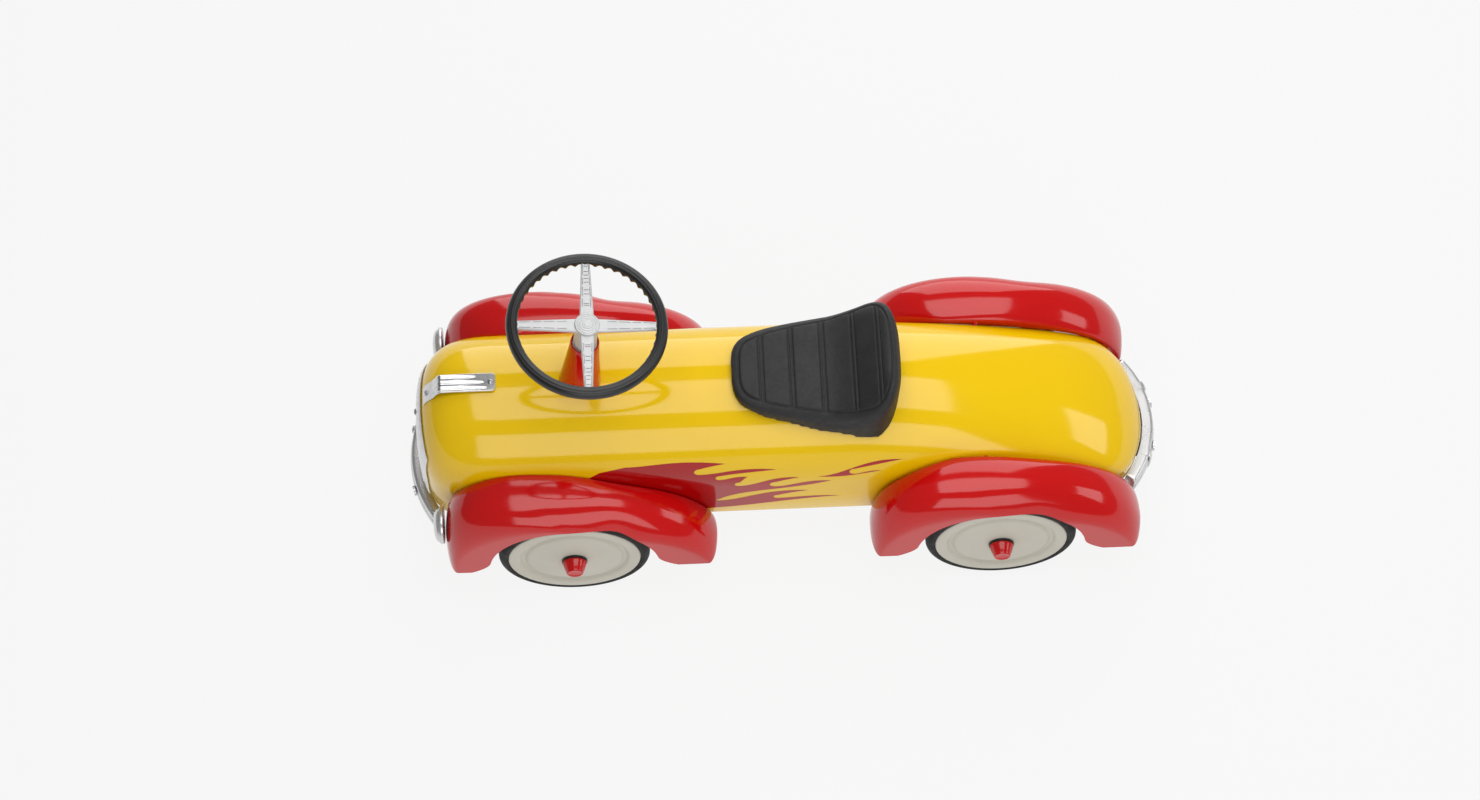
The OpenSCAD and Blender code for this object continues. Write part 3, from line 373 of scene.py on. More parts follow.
def make_flames():
    # The long flame comes out from under the front fender: tongues from the top down, each
    # with the inlet that parts it from the next
    long_flame = flame_outline(mm(160, 172.5), [
        (mm(61, 172.5), mm(92, 163), 3.7 * MM, 2 * MM), (mm(10, 163), mm(71, 153), 3.2 * MM, 3 * MM),
        (mm(39, 153.5), mm(52, 140), 3.8 * MM, 2 * MM), (mm(-12, 149.5), mm(17, 137), 5 * MM, 3 * MM),
        (mm(-44, 141), mm(70, 105.5), 1.6 * MM, 22 * MM), (mm(-22, 120.5), mm(13, 108), 3.6 * MM, 3 * MM),
        (mm(-54, 105), None, 0, 0)], mm(120, 87))
    long_flame += [mm(150, 84), mm(180, 84), mm(196, 120), mm(200, 158), mm(186, 167)]
    short_flame = flame_outline(mm(-30, 149.5), [
        (mm(-115, 168), mm(-62, 155.5), 3.9 * MM, 2.5 * MM), (mm(-94, 155), None, 0, 0)],
        mm(-30, 149.5))[:-1]
    for side, word in ((LEFT, "left"), (RIGHT, "right")):
        make_flame("flame_long_" + word, long_flame, side)
        make_flame("flame_short_" + word, short_flame, side)


# ---------------------------------------------------------------- fenders

WHEEL = {"front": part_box("wheel_front_left"), "rear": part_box("wheel_rear_left")}
AXLE = {end: (lo + hi) / 2 for end, (lo, hi) in WHEEL.items()}
fender_lo, fender_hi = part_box("fender_front_left")
FENDER_Y, FENDER_TOP, FENDER_FLOOR = fender_hi.y, fender_hi.z, fender_lo.z
# crown peak x, reach ahead, power ahead, reach behind, power behind, height of the outer
# quarter ellipse at the top, depth of the inner edge at the top
FENDER = {"front": (35 * MM, 93 * MM, 3.4, 179.5 * MM, 1.92, 50 * MM, 9.5 * MM),
          "rear": (25 * MM, 106 * MM, 2.6, 168 * MM, 2.0, 44 * MM, 15 * MM)}
LIP_HALF, LIP_H, LIP_POWER, LIP_FLARE, LIP_FLARE_H = 86 * MM, 85.2 * MM, 2.2, 18 * MM, 20 * MM
CROWN_Y = 104 * MM
END_IN, END_DROP, FLANGE = 4 * MM, 10 * MM, 11 * MM
SKIRT_CORNER, SKIRT_LIFT = 12 * MM, 40 * MM
LEAST_INNER_Y = 75 * MM


def crown_line(kind, a):
    peak, ahead, n_ahead, behind, n_behind = kind[:5]
    back = a > math.pi / 2
    n = n_behind if back else n_ahead
    return Vector((peak + (behind if back else ahead) * signed_power(math.cos(a), 2 / n),
                   FENDER_FLOOR + (FENDER_TOP - FENDER_FLOOR) * math.sin(a) ** (2 / n)))


def lip_line(a):
    rise = LIP_H * math.sin(a) ** (2 / LIP_POWER)
    flare = LIP_FLARE * clamp01(1 - rise / LIP_FLARE_H) ** 2
    return Vector((LIP_HALF * signed_power(math.cos(a), 2 / LIP_POWER)
                   + flare * math.copysign(1, math.cos(a)), FENDER_FLOOR + rise))


def skirt_z(x, z, xa, xb):
    over = min(max(0.0, SKIRT_CORNER - min(xa - x, x - xb)), SKIRT_CORNER)
    lift = SKIRT_CORNER - math.sqrt(SKIRT_CORNER ** 2 - over ** 2)
    return z + lift * clamp01(1 - (z - FENDER_FLOOR) / SKIRT_LIFT)


def beside_body(x, z):
    return max(LEAST_INNER_Y, body_y(x, max(FLOOR, z))) + 0.3 * MM


def fender_row(kind, wheel_x, side, a, inner_steps=12, outer_steps=22):
    c, low = crown_line(kind, a), lip_line(a)
    depth = (low - c).length
    into = (low - c) / depth
    crest = math.sin(a)
    dip, drop = blend(END_IN, kind[6], crest), blend(END_DROP, kind[5], crest)
    wall = c + into * dip
    wall_y = beside_body(wheel_x + wall.x, wall.y)
    half = FENDER_Y - CROWN_Y
    turn = math.acos(1 - min(drop, 0.85 * depth) / drop)
    lip_y = CROWN_Y + half * math.sqrt(1 - (1 - depth / drop) ** 2) if depth < drop else FENDER_Y
    across = [(wall_y, dip + FLANGE), (wall_y, dip + FLANGE / 2)]
    across += [(CROWN_Y - (CROWN_Y - wall_y) * math.cos(b), dip * (1 - math.sin(b)))
               for b in (0.5 * math.pi * i / inner_steps for i in range(inner_steps + 1))]
    across += [(CROWN_Y + half * math.sin(b), drop * (1 - math.cos(b)))
               for b in (turn * i / outer_steps for i in range(1, outer_steps + 1))]
    last_y, last_d = across[-1]
    across += [(blend(last_y, lip_y, t), blend(last_d, depth, t)) for t in (0.33, 0.67, 1)]
    row = []
    for y, d in across:
        q = c + into * d
        z = skirt_z(q.x, q.y, kind[0] + kind[1], kind[0] - kind[3])
        row.append(Vector((wheel_x + q.x, side * max(y, beside_body(wheel_x + q.x, q.y)), z)))
    return row


def make_fender(end, side, word):
    kind, wheel_x, count = FENDER[end], AXLE[end].x, 150
    rows = []
    for i in range(count):
        s = i / (count - 1)
        a = math.pi * (s - 0.5 * math.sin(2 * math.pi * s) / (2 * math.pi))
        rows.append(fender_row(kind, wheel_x, side, min(math.pi - 2e-4, max(2e-4, a))))
    shape = Shape()
    shape.grid(rows)
    centre = Vector((wheel_x, side * CROWN_Y, FENDER_FLOOR))
    node = "fender_%s_%s" % (end, word)
    shape.build(node + "_skin", RED, "chassis", "red_paint", [node], sharp=45,
                thickness=1.5 * MM, outward=lambda p: p - centre)
    bead = Shape()
    bead.tube([row[-1] - Vector((0, side * 0.7 * MM, 0)) for row in rows[1:-1]], 0.72 * MM, 10)
    bead.build(node + "_bead", RED, "chassis", "red_paint", sharp=60)


# ---------------------------------------------------------------- wheels

TYRE_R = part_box("tyre_front_left")[1].z - AXLE["front"].z
DISC_R = WHEEL["front"][1].z - AXLE["front"].z
FACE_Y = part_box("tyre_front_left")[1].y
TYRE_W = FACE_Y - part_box("tyre_front_left")[0].y


def out(points):
    """Profile points given as (radius mm, height mm above the disc's face plane)."""
    return [(r * MM, FACE_Y + h * MM) for r, h in points]


def smooth(points, rounds=2):
    """Rounds a profile's corners by cutting them repeatedly, and keeps its two ends."""
    for _ in range(rounds):
        cut = [points[0]]
        for (r0, h0), (r1, h1) in zip(points, points[1:]):
            cut += [(blend(r0, r1, 0.25), blend(h0, h1, 0.25)),
                    (blend(r0, r1, 0.75), blend(h0, h1, 0.75))]
        points = cut + [points[-1]]
    return points


def make_wheel(end, side, word):
    name = "%s_%s" % (end, word)
    centre, axis = Vector((AXLE[end].x, 0, AXLE[end].z)), Vector((0, side, 0))
    body = "wheel_" + name
    disc_r, tyre_r = DISC_R / MM, TYRE_R / MM
    front = smooth([(8.1, 0.78), (15, 0.7), (30, 0.1), (44, -0.8), (47.0, -1.2), (49.4, -3.6),
                    (52.4, -3.6), (54.8, -0.9), (56.8, -0.15), (59.5, 0), (disc_r - 2.5, 0),
                    (disc_r - 0.4, -0.5), (disc_r, -2.4), (disc_r, -13)])
    back = smooth([(disc_r - 1.5, -13), (disc_r - 1.5, -4), (disc_r - 3, -1.6), (55.8, -1.8),
                   (53.2, -5.0), (48.4, -5.0), (46, -2.7), (30, -1.5), (15, -0.9), (8.1, -0.8)])
    disc = Shape()
    disc.lathe(out(front + back), centre, axis, 192, closed=True)
    disc.lathe(smooth([(8.1 * MM, 108.2 * MM), (9.9 * MM, 108.2 * MM), (9.9 * MM, 125 * MM),
                       (9.9 * MM, 130.9 * MM), (8.1 * MM, 130.9 * MM)], 1), centre, axis, 96)
    disc.build("disc_" + name, CREAM, body, "wheel_paint", [body], sharp=40)
    w = TYRE_W / MM
    corner = 8
    outer_arc = [(tyre_r - corner + corner * math.sin(b), -corner + corner * math.cos(b))
                 for b in (math.radians(6 * k) for k in range(4, 16))]
    tread = [(disc_r + 0.1, -w + 0.6), (disc_r + 2, -w + 0.15)]
    tread += [(r, -w - h) for r, h in outer_arc]
    tread += [(tyre_r, -w * k) for k in (0.55, 0.5, 0.45)]
    tread += outer_arc[::-1]
    tread += [(disc_r + 3.0, -0.15), (disc_r + 2.4, -0.5), (disc_r + 1.2, -0.5), (disc_r + 0.1, -0.9)]
    tyre = Shape()
    tyre.lathe(out(smooth(tread, 1)), centre, axis, 192, closed=True)
    tyre.build("tyre_skin_" + name, RUBBER, body, "tyre_rubber", ["tyre_" + name], sharp=40)
    cap_lo, cap_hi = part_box("hub_cap_" + name)
    base_y, tip_y = sorted((abs(cap_lo.y), abs(cap_hi.y)))
    base_r = (cap_hi.z - cap_lo.z) / 2
    tip_r = base_r * 0.70
    profile = smooth([(base_r - 0.4 * MM, base_y), (base_r, base_y + 0.1 * MM),
                      (base_r, base_y + 1.4 * MM), (blend(base_r, tip_r, 0.5), blend(base_y, tip_y, 0.55)),
                      (tip_r, tip_y - 1.2 * MM), (tip_r - 0.3 * MM, tip_y), (tip_r - 2 * MM, tip_y),
                      (tip_r - 2.8 * MM, tip_y - 0.7 * MM), (0.05 * MM, tip_y - 0.8 * MM)])
    cap = Shape()
    cap.lathe(profile, centre, axis, 96)
    cap_body = "knuckle_" + word if end == "front" else "chassis"
    cap.build("cap_" + name, RED, cap_body, "red_paint", ["hub_cap_" + name], sharp=50,
              outward=lambda p: Vector((p.x - centre.x, 0, p.z - centre.z)) + axis * 0.001)


# ---------------------------------------------------------------- steering wheel

RIM_LO, RIM_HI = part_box("steering_rim")
RIM_C = (RIM_LO + RIM_HI) / 2
COLUMN = next(j for j in frame["joints"] if j["name"] == "steering_column")
AXIS = Vector(COLUMN["axis"]).normalized()
FORE = Vector((0, 1, 0)).cross(AXIS).normalized()
SIDE = Vector((0, 1, 0))
RIM_R = (RIM_HI.y - RIM_LO.y) / 2
RIM_W = 12 * MM
HUB_TOP = 2.5 * MM               # top of the spokes above the rim's middle


def on_wheel(fore, side, up):
    return RIM_C + FORE * fore + SIDE * side + AXIS * up


def make_rim():
    """A round rim with two fine grooves on top and finger notches along its inner underside."""
    steps, sides, notches = 528, 56, 44
    mean, half_w, half_h = RIM_R - RIM_W / 2, RIM_W / 2, 6.75 * MM
    rows = []
    for i in range(steps):
        a = 2 * math.pi * i / steps
        wave = 0.5 - 0.5 * math.cos(notches * a)
        row = []
        for k in range(sides):
            b = 2 * math.pi * k / sides
            out_r, up = math.cos(b), math.sin(b)
            inner = clamp01(-out_r * 1.6) * clamp01((0.55 - up) / 0.8)
            dent = 2.1 * MM * (wave ** 0.7) * inner
            groove = sum(0.55 * MM * math.exp(-((out_r * half_w - g) / (0.5 * MM)) ** 2)
                         for g in (-1.6 * MM, 1.9 * MM)) if up > 0 else 0
            size_w, size_h = half_w - dent - groove, half_h - dent - groove
            r = mean + out_r * size_w
            row.append(on_wheel(r * math.cos(a), r * math.sin(a), up * size_h))
        rows.append(row)
    shape = Shape()
    shape.grid(rows, wrap_rows=True, wrap_cols=True)
    shape.build("rim_grip", BLACK, "steering", "black_plastic", ["steering_rim"], sharp=60)


def make_spokes():
    shape, groove_shade_beads = Shape(), Shape()
    inner_r, outer_r = 4 * MM, RIM_R - RIM_W + 2.5 * MM
    thick, stations = 5 * MM, 24
    for turn in range(4):
        along = FORE * math.cos(turn * math.pi / 2) + SIDE * math.sin(turn * math.pi / 2)
        across = AXIS.cross(along)
        rows = []
        for i in range(stations + 1):
            r = blend(inner_r, outer_r, i / stations)
            half = blend(7.2, 4.2, i / stations) * MM
            section = []
            for k in range(28):
                b = 2 * math.pi * k / 28
                y = half * signed_power(math.cos(b), 0.45)
                z = thick / 2 * signed_power(math.sin(b), 0.45)
                inset = 0.35 * MM if math.sin(b) > 0.9 else 0
                section.append(RIM_C + along * r + across * y + AXIS * (HUB_TOP - thick / 2 + z - inset))
            rows.append(section)
        base = shape.grid(rows, wrap_cols=True)
        shape.lid(base, 28)
        shape.lid(base + stations * 28, 28)
        # The tick marks across the spoke and the lines along its edges are thin dark beads, painted shade
        # standing in for engraved grooves
        top = HUB_TOP - 0.25 * MM
        for place in (0.27, 0.30, 0.46, 0.53, 0.66, 0.72, 0.78, 0.84, 0.93) if turn % 2 else ():
            r = blend(inner_r, outer_r, place)
            half = blend(7.2, 4.2, place) * MM * 0.42
            mid = RIM_C + along * r + AXIS * top
            groove_shade_beads.tube([mid - across * half, mid, mid + across * half], 0.3 * MM, 6)
        for s0, s1 in ((0.24, 0.38), (0.42, 0.58), (0.62, 0.74), (0.78, 0.95)):
            for edge in (-0.62, 0.62):
                ends = []
                for place in (s0, (s0 + s1) / 2, s1):
                    ends.append(RIM_C + along * blend(inner_r, outer_r, place) + AXIS * top
                                + across * blend(7.2, 4.2, place) * MM * edge)
                groove_shade_beads.tube(ends, 0.22 * MM, 6)
    base_h = -(RIM_C.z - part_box("steering_spokes")[0].z) / AXIS.z + 1.2 * MM
    boss = smooth([(5.2 * MM, base_h), (10.6 * MM, base_h), (11.4 * MM, base_h + 0.8 * MM),
                   (11.4 * MM, -8 * MM), (11.4 * MM, HUB_TOP - 1 * MM), (10.6 * MM, HUB_TOP),
                   (4 * MM, HUB_TOP)], 1)
    shape.lathe(boss, RIM_C, AXIS, 96)
    shape.build("spoke_casting", SILVER, "steering", "cast_silver", ["steering_spokes"], sharp=35)
    groove_shade_beads.build("spoke_groove_shade_beads", GROOVE_SHADE, "steering", "cast_silver")
    cap = Shape()
    rings = [(12, 0.1), (12, 1.1), (11.4, 1.6), (10.6, 1.6), (10.3, 1.25), (9.8, 1.25), (9.5, 1.7),
             (8.4, 1.9), (8.1, 1.5), (7.6, 1.5), (7.3, 2.0), (6, 2.2), (5.7, 1.8), (5.2, 1.8), (4.9, 2.3),
             (3.4, 2.4), (3.1, 2.9), (1.5, 3.0), (0.02, 3.0)]
    cap.lathe([(r * MM, HUB_TOP + h * MM) for r, h in [(0.02, 0.1)] + rings], RIM_C, AXIS, 96)
    cap.build("hub_button", SILVER, "steering", "cast_silver", ["steering_cap"], sharp=30)


def make_cover():
    """The red cone round the column, with a rolled top edge and a recessed mouth."""
    foot = Vector(COLUMN["pos_m"])
    low_s = (TOP - foot.z) / AXIS.z - 5 * MM
    top_s = 224 * MM
    r0, r1 = 20.4 * MM, 14 * MM
    profile = [(r0 + 0.8 * MM, low_s - 3 * MM), (r0, low_s + 5 * MM)]
    profile += [(blend(r0, r1, t), blend(low_s + 5 * MM, top_s - 1.5 * MM, t))
                for t in (0.1, 0.25, 0.4, 0.55, 0.7, 0.85, 1)]
    profile += [(r1 - 0.3 * MM, top_s - 0.3 * MM), (r1 - 0.9 * MM, top_s), (r1 - 1.5 * MM, top_s - 0.4 * MM),
                (r1 - 1.9 * MM, top_s - 1.4 * MM), (r1 - 1.9 * MM, top_s - 14 * MM)]
    shape = Shape()
    shape.lathe(profile, foot, AXIS, 128)
    shape.build("column_cone", RED, "chassis", "red_paint", ["column_cover"], sharp=50)


# ---------------------------------------------------------------- bright work

def nose_at(y, z):
    lo, hi = NOSE_START, NOSE
    for _ in range(22):
        mid = (lo + hi) / 2
        if body_y(mid, z) > abs(y) and FLOOR + (TOP - FLOOR) * body_rise(mid) > z:
            lo = mid
        else:
            hi = mid
    return lo


def nose_top(x):
    return FLOOR + (TOP - FLOOR) * body_rise(x)


def make_grille():
    lo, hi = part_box("grille")
    half_w, floor_z, top_z, side_z = hi.y, lo.z, hi.z, 160 * MM
    bars, per, rows_n = 13, 12, 70
    cols = bars * per
    rows = []
    for i in range(rows_n + 1):
        v = i / rows_n
        row = []
        for j in range(cols + 1):
            f = 2 * j / cols - 1
            top = top_z - (top_z - side_z) * abs(f) ** 2.2
            z = blend(floor_z, top, v)
            frame_d = min(v * (top - floor_z), (1 - v) * (top - floor_z), (1 - abs(f)) * half_w)
            fade = clamp01((frame_d - 3.5 * MM) / (3 * MM))
            wave = (0.5 - 0.5 * math.cos(2 * math.pi * j / per)) ** 0.6
            rim = 1.1 * MM * clamp01(1 - abs(frame_d - 1.8 * MM) / (1.8 * MM))
            bar = 1.8 * MM * wave * fade + rim
            row.append(Vector((nose_at(half_w * f, z) + 1.6 * MM + bar, half_w * f, z)))
        rows.append(row)
    shape = Shape()
    shape.grid(rows)
    shape.build("grille_bars", CHROME, "chassis", "chrome", ["grille"], sharp=40, thickness=1.2 * MM,
                outward=lambda p: Vector((1, 0, 0)))


def make_ornament():
    """A strip along the hood with three ribs that taper to the rear, stepping down to a foot
    that follows the nose."""
    lo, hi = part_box("hood_ornament")
    half = (hi.y - lo.y) / 2
    rear, bend, tip = lo.x, 341 * MM, 357.4 * MM
    top_z, lift = 221.4 * MM, 2.6 * MM
    stations = 110
    rows = []
    for i in range(stations + 1):
        x = blend(rear + 0.2 * MM, tip, i / stations)
        foot = nose_top(x) + lift
        t = clamp01((x - (bend - 3 * MM)) / (10 * MM))
        z = blend(top_z, foot, t * t * (3 - 2 * t))
        corner = 4 * MM
        back = clamp01((rear + corner - x) / corner)
        width = half - corner * (1 - math.sqrt(max(0.0, 1 - back ** 2)))
        width *= 1 - 0.06 * clamp01((x - bend) / (12 * MM))
        row = []
        for j in range(97):
            f = 2 * j / 96 - 1
            y = width * f
            rib = 0.0
            for centre, start in ((-0.62, 20), (0.0, 12), (0.62, 9)):
                grow = clamp01((x - rear - start * MM) / (26 * MM))
                fade = clamp01((bend + 6 * MM - x) / (6 * MM))
                reach = blend(0.05, 0.29, grow ** 0.7)
                u = (f - centre) / reach
                if abs(u) < 1:
                    rib = max(rib, (2.9 * MM * grow ** 0.6) * math.sqrt(1 - u * u) * fade)
            edge = clamp01((abs(f) - 0.94) / 0.06)
            row.append(Vector((x, y, z + rib - 1.6 * MM * edge ** 2)))
        rows.append(row)
    shape = Shape()
    shape.grid(rows)
    shape.build("hood_badge", BRIGHT, "chassis", "chrome", ["hood_ornament"], sharp=45,
                thickness=1.5 * MM, outward=lambda p: Vector((0.3, 0, 1)))


def pan_head(shape, place, axis, r, h):
    """A domed screw head with a cross recess."""
    axis = Vector(axis).normalized()
    side = axis.orthogonal().normalized()
    up = axis.cross(side)
    rings, spokes = 14, 48
    rows = []
    for i in range(rings + 1):
        t = i / rings
        row = []
        for k in range(spokes):
            a = 2 * math.pi * k / spokes
            rr = r * math.sin(t * math.pi / 2)
            u, v = rr * math.cos(a), rr * math.sin(a)
            z = h * math.cos(t * math.pi / 2) ** 0.8
            slot_w, slot_l = 0.16 * r, 0.62 * r
            if (abs(u) < slot_w and abs(v) < slot_l) or (abs(v) < slot_w and abs(u) < slot_l):
                z -= 0.45 * h
            row.append(Vector(place) + side * u + up * v + axis * z)
        rows.append(row)
    shape.grid(rows, wrap_cols=True)


def make_screws():
    shape = Shape()
    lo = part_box("hood_ornament")[0]
    pan_head(shape, (lo.x + 5 * MM, 0, 221.3 * MM), (0, 0, 1), 2.8 * MM, 1.6 * MM)
    foot_x = 353.5 * MM
    slope = (nose_top(foot_x + 1 * MM) - nose_top(foot_x - 1 * MM)) / (2 * MM)
    pan_head(shape, (foot_x, 0, nose_top(foot_x) + 2.7 * MM), (-slope, 0, 1), 3.0 * MM, 1.7 * MM)
    shape.build("badge_screws", ZINC, "chassis", "chrome", ["ornament_screws"], sharp=30)
    shape = Shape()
    for z in (90 * MM, 161 * MM):
        pan_head(shape, (nose_at(0, z) + 3.0 * MM, 0, z), (1, 0, 0), 3.4 * MM, 2.2 * MM)
    shape.build("grille_screw_heads", ZINC, "chassis", "chrome", ["grille_screws"], sharp=30)


BUMPER = {"front": (130 * MM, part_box("front_bumper")), "rear": (113 * MM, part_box("rear_bumper"))}


def make_bumper(end):
    r, (lo, hi) = BUMPER[end]
    way = 1 if end == "front" else -1
    reach = hi.x if end == "front" else -lo.x
    mid_z, half = (lo.z + hi.z) / 2, (hi.z - lo.z) / 2
    span = math.asin(min(1, (hi.y - 1.5 * MM) / r))
    bulge = 1.4 * MM
    # across the bar: rolled lips, and a raised rib along the middle
    line = [(-11.5 * MM, -half + 0.3 * MM), (-6 * MM, -half), (-2.6 * MM, -half),
            (-0.6 * MM, -half + 1.2 * MM), (0, -half + 3.4 * MM), (0.1 * MM, -half * 0.45),
            (0, -half * 0.36), (bulge * 0.75, -half * 0.28),
            (bulge, -half * 0.12), (bulge, half * 0.12), (bulge * 0.75, half * 0.28), (0, half * 0.36),
            (0.1 * MM, half * 0.45), (0, half - 3.4 * MM), (-0.6 * MM, half - 1.2 * MM), (-2.6 * MM, half),
            (-6 * MM, half), (-11.5 * MM, half - 0.3 * MM)]
    line = smooth(line, 2)
    centre_x = reach - bulge - r
    rows, steps = [], 90
    for i in range(steps + 1):
        s = 2 * i / steps - 1
        a = span * s
        tail = clamp01((abs(s) - 0.93) / 0.07)
        squeeze = math.sqrt(1 - 0.9 * tail ** 2.5)
        rows.append([Vector((way * (centre_x + (r + d) * math.cos(a)), (r + d) * math.sin(a),
                             mid_z + z * squeeze)) for d, z in line])
    shape = Shape()
    shape.grid(rows)
    shape.build(end + "_bumper_bar", CHROME, "chassis", "chrome", [end + "_bumper"], sharp=50,
                thickness=1.5 * MM, outward=lambda p: Vector((way, 0, 0)))


def make_overriders():
    r, (lo, hi) = BUMPER["rear"]
    mid_z, half = (lo.z + hi.z) / 2, (hi.z - lo.z) / 2
    centre_x = -lo.x - 1.4 * MM - r
    turn = math.asin((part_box("rear_overriders")[1].y - 3.5 * MM) / r)
    line = smooth([(-8 * MM, -half - 0.4 * MM), (0, -half - 0.6 * MM), (2.4 * MM, -half + 2.5 * MM),
                   (3.0 * MM, -half * 0.4), (3.2 * MM, 0), (3.0 * MM, half * 0.4),
                   (2.4 * MM, half - 2.5 * MM), (0, half + 0.6 * MM), (-8 * MM, half + 0.4 * MM)], 2)
    shape = Shape()
    for sign in (1, -1):
        rows = []
        for i in range(9):
            s = 2 * i / 8 - 1
            a = sign * turn + s * math.radians(1.9)
            crown = 0.5 * MM * (1 - s * s)
            rows.append([Vector((-(centre_x + (r + d - 0.5 * MM + crown) * math.cos(a)),
                                 (r + d) * math.sin(a), mid_z + z)) for d, z in line])
        shape.grid(rows)
    shape.build("overrider_straps", CHROME, "chassis", "chrome", ["rear_overriders"], sharp=50,
                thickness=1.2 * MM, outward=lambda p: Vector((-1, 0, 0)))


def make_headlight(word):
    node = "headlight_" + word
    lo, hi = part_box(node)
    centre = Vector((hi.x - 11 * MM, (lo.y + hi.y) / 2, (lo.z + hi.z) / 2))
    r = (hi.z - lo.z) / 2
    band, dome = 5 * MM, 6 * MM
    profile = [(0.05 * MM, 0), (r * 0.6, 0), (r - 0.8 * MM, 0.2 * MM), (r - 0.1 * MM, 0.9 * MM), (r, 2 * MM),
               (r, band - 1.4 * MM), (r - 0.5 * MM, band - 0.4 * MM), (r - 1.3 * MM, band - 0.3 * MM),
               (r - 1.6 * MM, band - 0.5 * MM), (r - 1.9 * MM, band)]
    profile += [((r - 1.9 * MM) * math.cos(b), band + (dome - 0.1 * MM) * math.sin(b) ** 0.9)
                for b in (0.5 * math.pi * i / 16 for i in range(1, 16))]
    profile += [(0.05 * MM, band + dome - 0.1 * MM)]
    shape = Shape()
    shape.lathe(profile, centre, (1, 0, 0), 128)
    shape.build("lamp_" + word, CHROME, "chassis", "chrome", [node], sharp=35)


# ---------------------------------------------------------------- seat

seat_lo, seat_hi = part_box("seat_pad")
SEAT_FRONT, SEAT_REAR = seat_hi.x, seat_lo.x
SEAT_FLAT = 227 * MM
# How far the padding bulges past the CAD pad at mid length, and how far forward it sits
PAD_BULGE, PAD_FORWARD = 4 * MM, 2.4 * MM


def seat_y(x):
    side = blend(46.5, 62, (x / MM - 10) / -95) * MM
    side += PAD_BULGE * max(0.0, 1 - ((x / MM + 45) / 75) ** 2)
    front = ease((x - SEAT_FRONT + 46 * MM) / (46 * MM), 3.4, 3.4)
    rear = ease((SEAT_REAR + 37 * MM - x) / (37 * MM), 2.5, 2.5)
    return side * min(front, rear)


def seat_top(x):
    over = max(0.0, -45 - max(x / MM, -103))
    return SEAT_FLAT + 0.0505 * MM * over ** 1.6


def seat_floor(x, y):
    """As far above the deck as the seat's pan is thick, and as the deck falls away behind."""
    over = max(0.0, abs(y) - FLAT_HALF)
    return (TOP - SHOULDER + math.sqrt(max(0.0, (SHOULDER + 1.8 * MM) ** 2 - over ** 2))
            - (1 - body_rise(min(x, 0.0))) * (deck_z(y) - FLOOR))


def seat_loop(x, columns=44):
    half = seat_y(x)
    ends = min(ease((x - SEAT_FRONT + 12 * MM) / (12 * MM), 3, 3),
               ease((SEAT_REAR + 14 * MM - x) / (14 * MM), 3, 3))
    under, over = [], []
    for j in range(columns + 1):
        c = math.cos(math.pi * j / columns)
        y = half * c
        low, edge = seat_floor(x, y), seat_floor(x, half)
        crown = blend(max(edge, low + 2.4 * MM), seat_top(x), 0.25 + 0.75 * ends)
        top = blend(edge + 2 * MM, crown, ease(abs(c), 8.3, 8.3))
        over.append(Vector((x, y, max(low + 0.8 * MM, top))))
        under.append(Vector((x, y, low)))
    return over + under[::-1]


def seat_outline():
    xs = [blend(SEAT_REAR, SEAT_FRONT, 0.5 - 0.5 * math.cos(math.pi * i / 160)) for i in range(161)]
    edge = [(x, seat_y(x)) for x in xs]
    return np.array(edge + [(x, -y) for x, y in reversed(edge)])


def swell(piece, pressure, cap):
    """Puffs a closed mesh up with cloth under pressure, no point moving further than cap."""
    start = [v.co.copy() for v in piece.data.vertices]
    cloth = piece.modifiers.new("swell", "CLOTH")
    cloth.settings.use_pressure = True
    cloth.settings.uniform_pressure_force = pressure
    cloth.settings.quality = 6
    cloth.settings.mass = 0.3
    cloth.settings.tension_stiffness = 25
    cloth.settings.compression_stiffness = 25
    cloth.settings.bending_stiffness = 2
    cloth.settings.effector_weights.gravity = 0
    scene = bpy.context.scene
    for step in range(1, 21):
        scene.frame_set(step)
    graph = bpy.context.evaluated_depsgraph_get()
    mesh = bpy.data.meshes.new_from_object(piece.evaluated_get(graph))
    piece.modifiers.clear()
    piece.data = mesh
    for v, rest in zip(mesh.vertices, start):
        move = v.co - rest
        if move.length > cap:
            v.co = rest + move * (cap / move.length)
    scene.frame_set(1)


def make_seat():
    shape = Shape()
    rows = [seat_loop(blend(SEAT_FRONT - 0.2 * MM, SEAT_REAR + 0.2 * MM,
                            t - 0.75 * math.sin(2 * math.pi * t) / (2 * math.pi)))
            for t in (i / 60 for i in range(61))]
    base = shape.grid(rows, wrap_cols=True)
    shape.lid(base, len(rows[0]))
    shape.lid(base + 60 * len(rows[0]), len(rows[0]))
    pad = shape.build("seat_cushion", LEATHER, "chassis", "seat_cover", ["seat_pad"], sharp=180)
    remesh = pad.modifiers.new("remesh", "REMESH")
    remesh.mode, remesh.voxel_size = "VOXEL", 1.8 * MM
    even = pad.modifiers.new("even", "SMOOTH")
    even.factor, even.iterations = 0.5, 14
    bake_modifiers(pad)
    swell(pad, 4, 0.9 * MM)
    finer = pad.modifiers.new("finer", "SUBSURF")
    finer.levels = finer.render_levels = 1
    bake_modifiers(pad)
    sew(pad)
    pad.data.shade_smooth()
    pad.data.materials.clear()
    pad.data.materials.append(LEATHER)


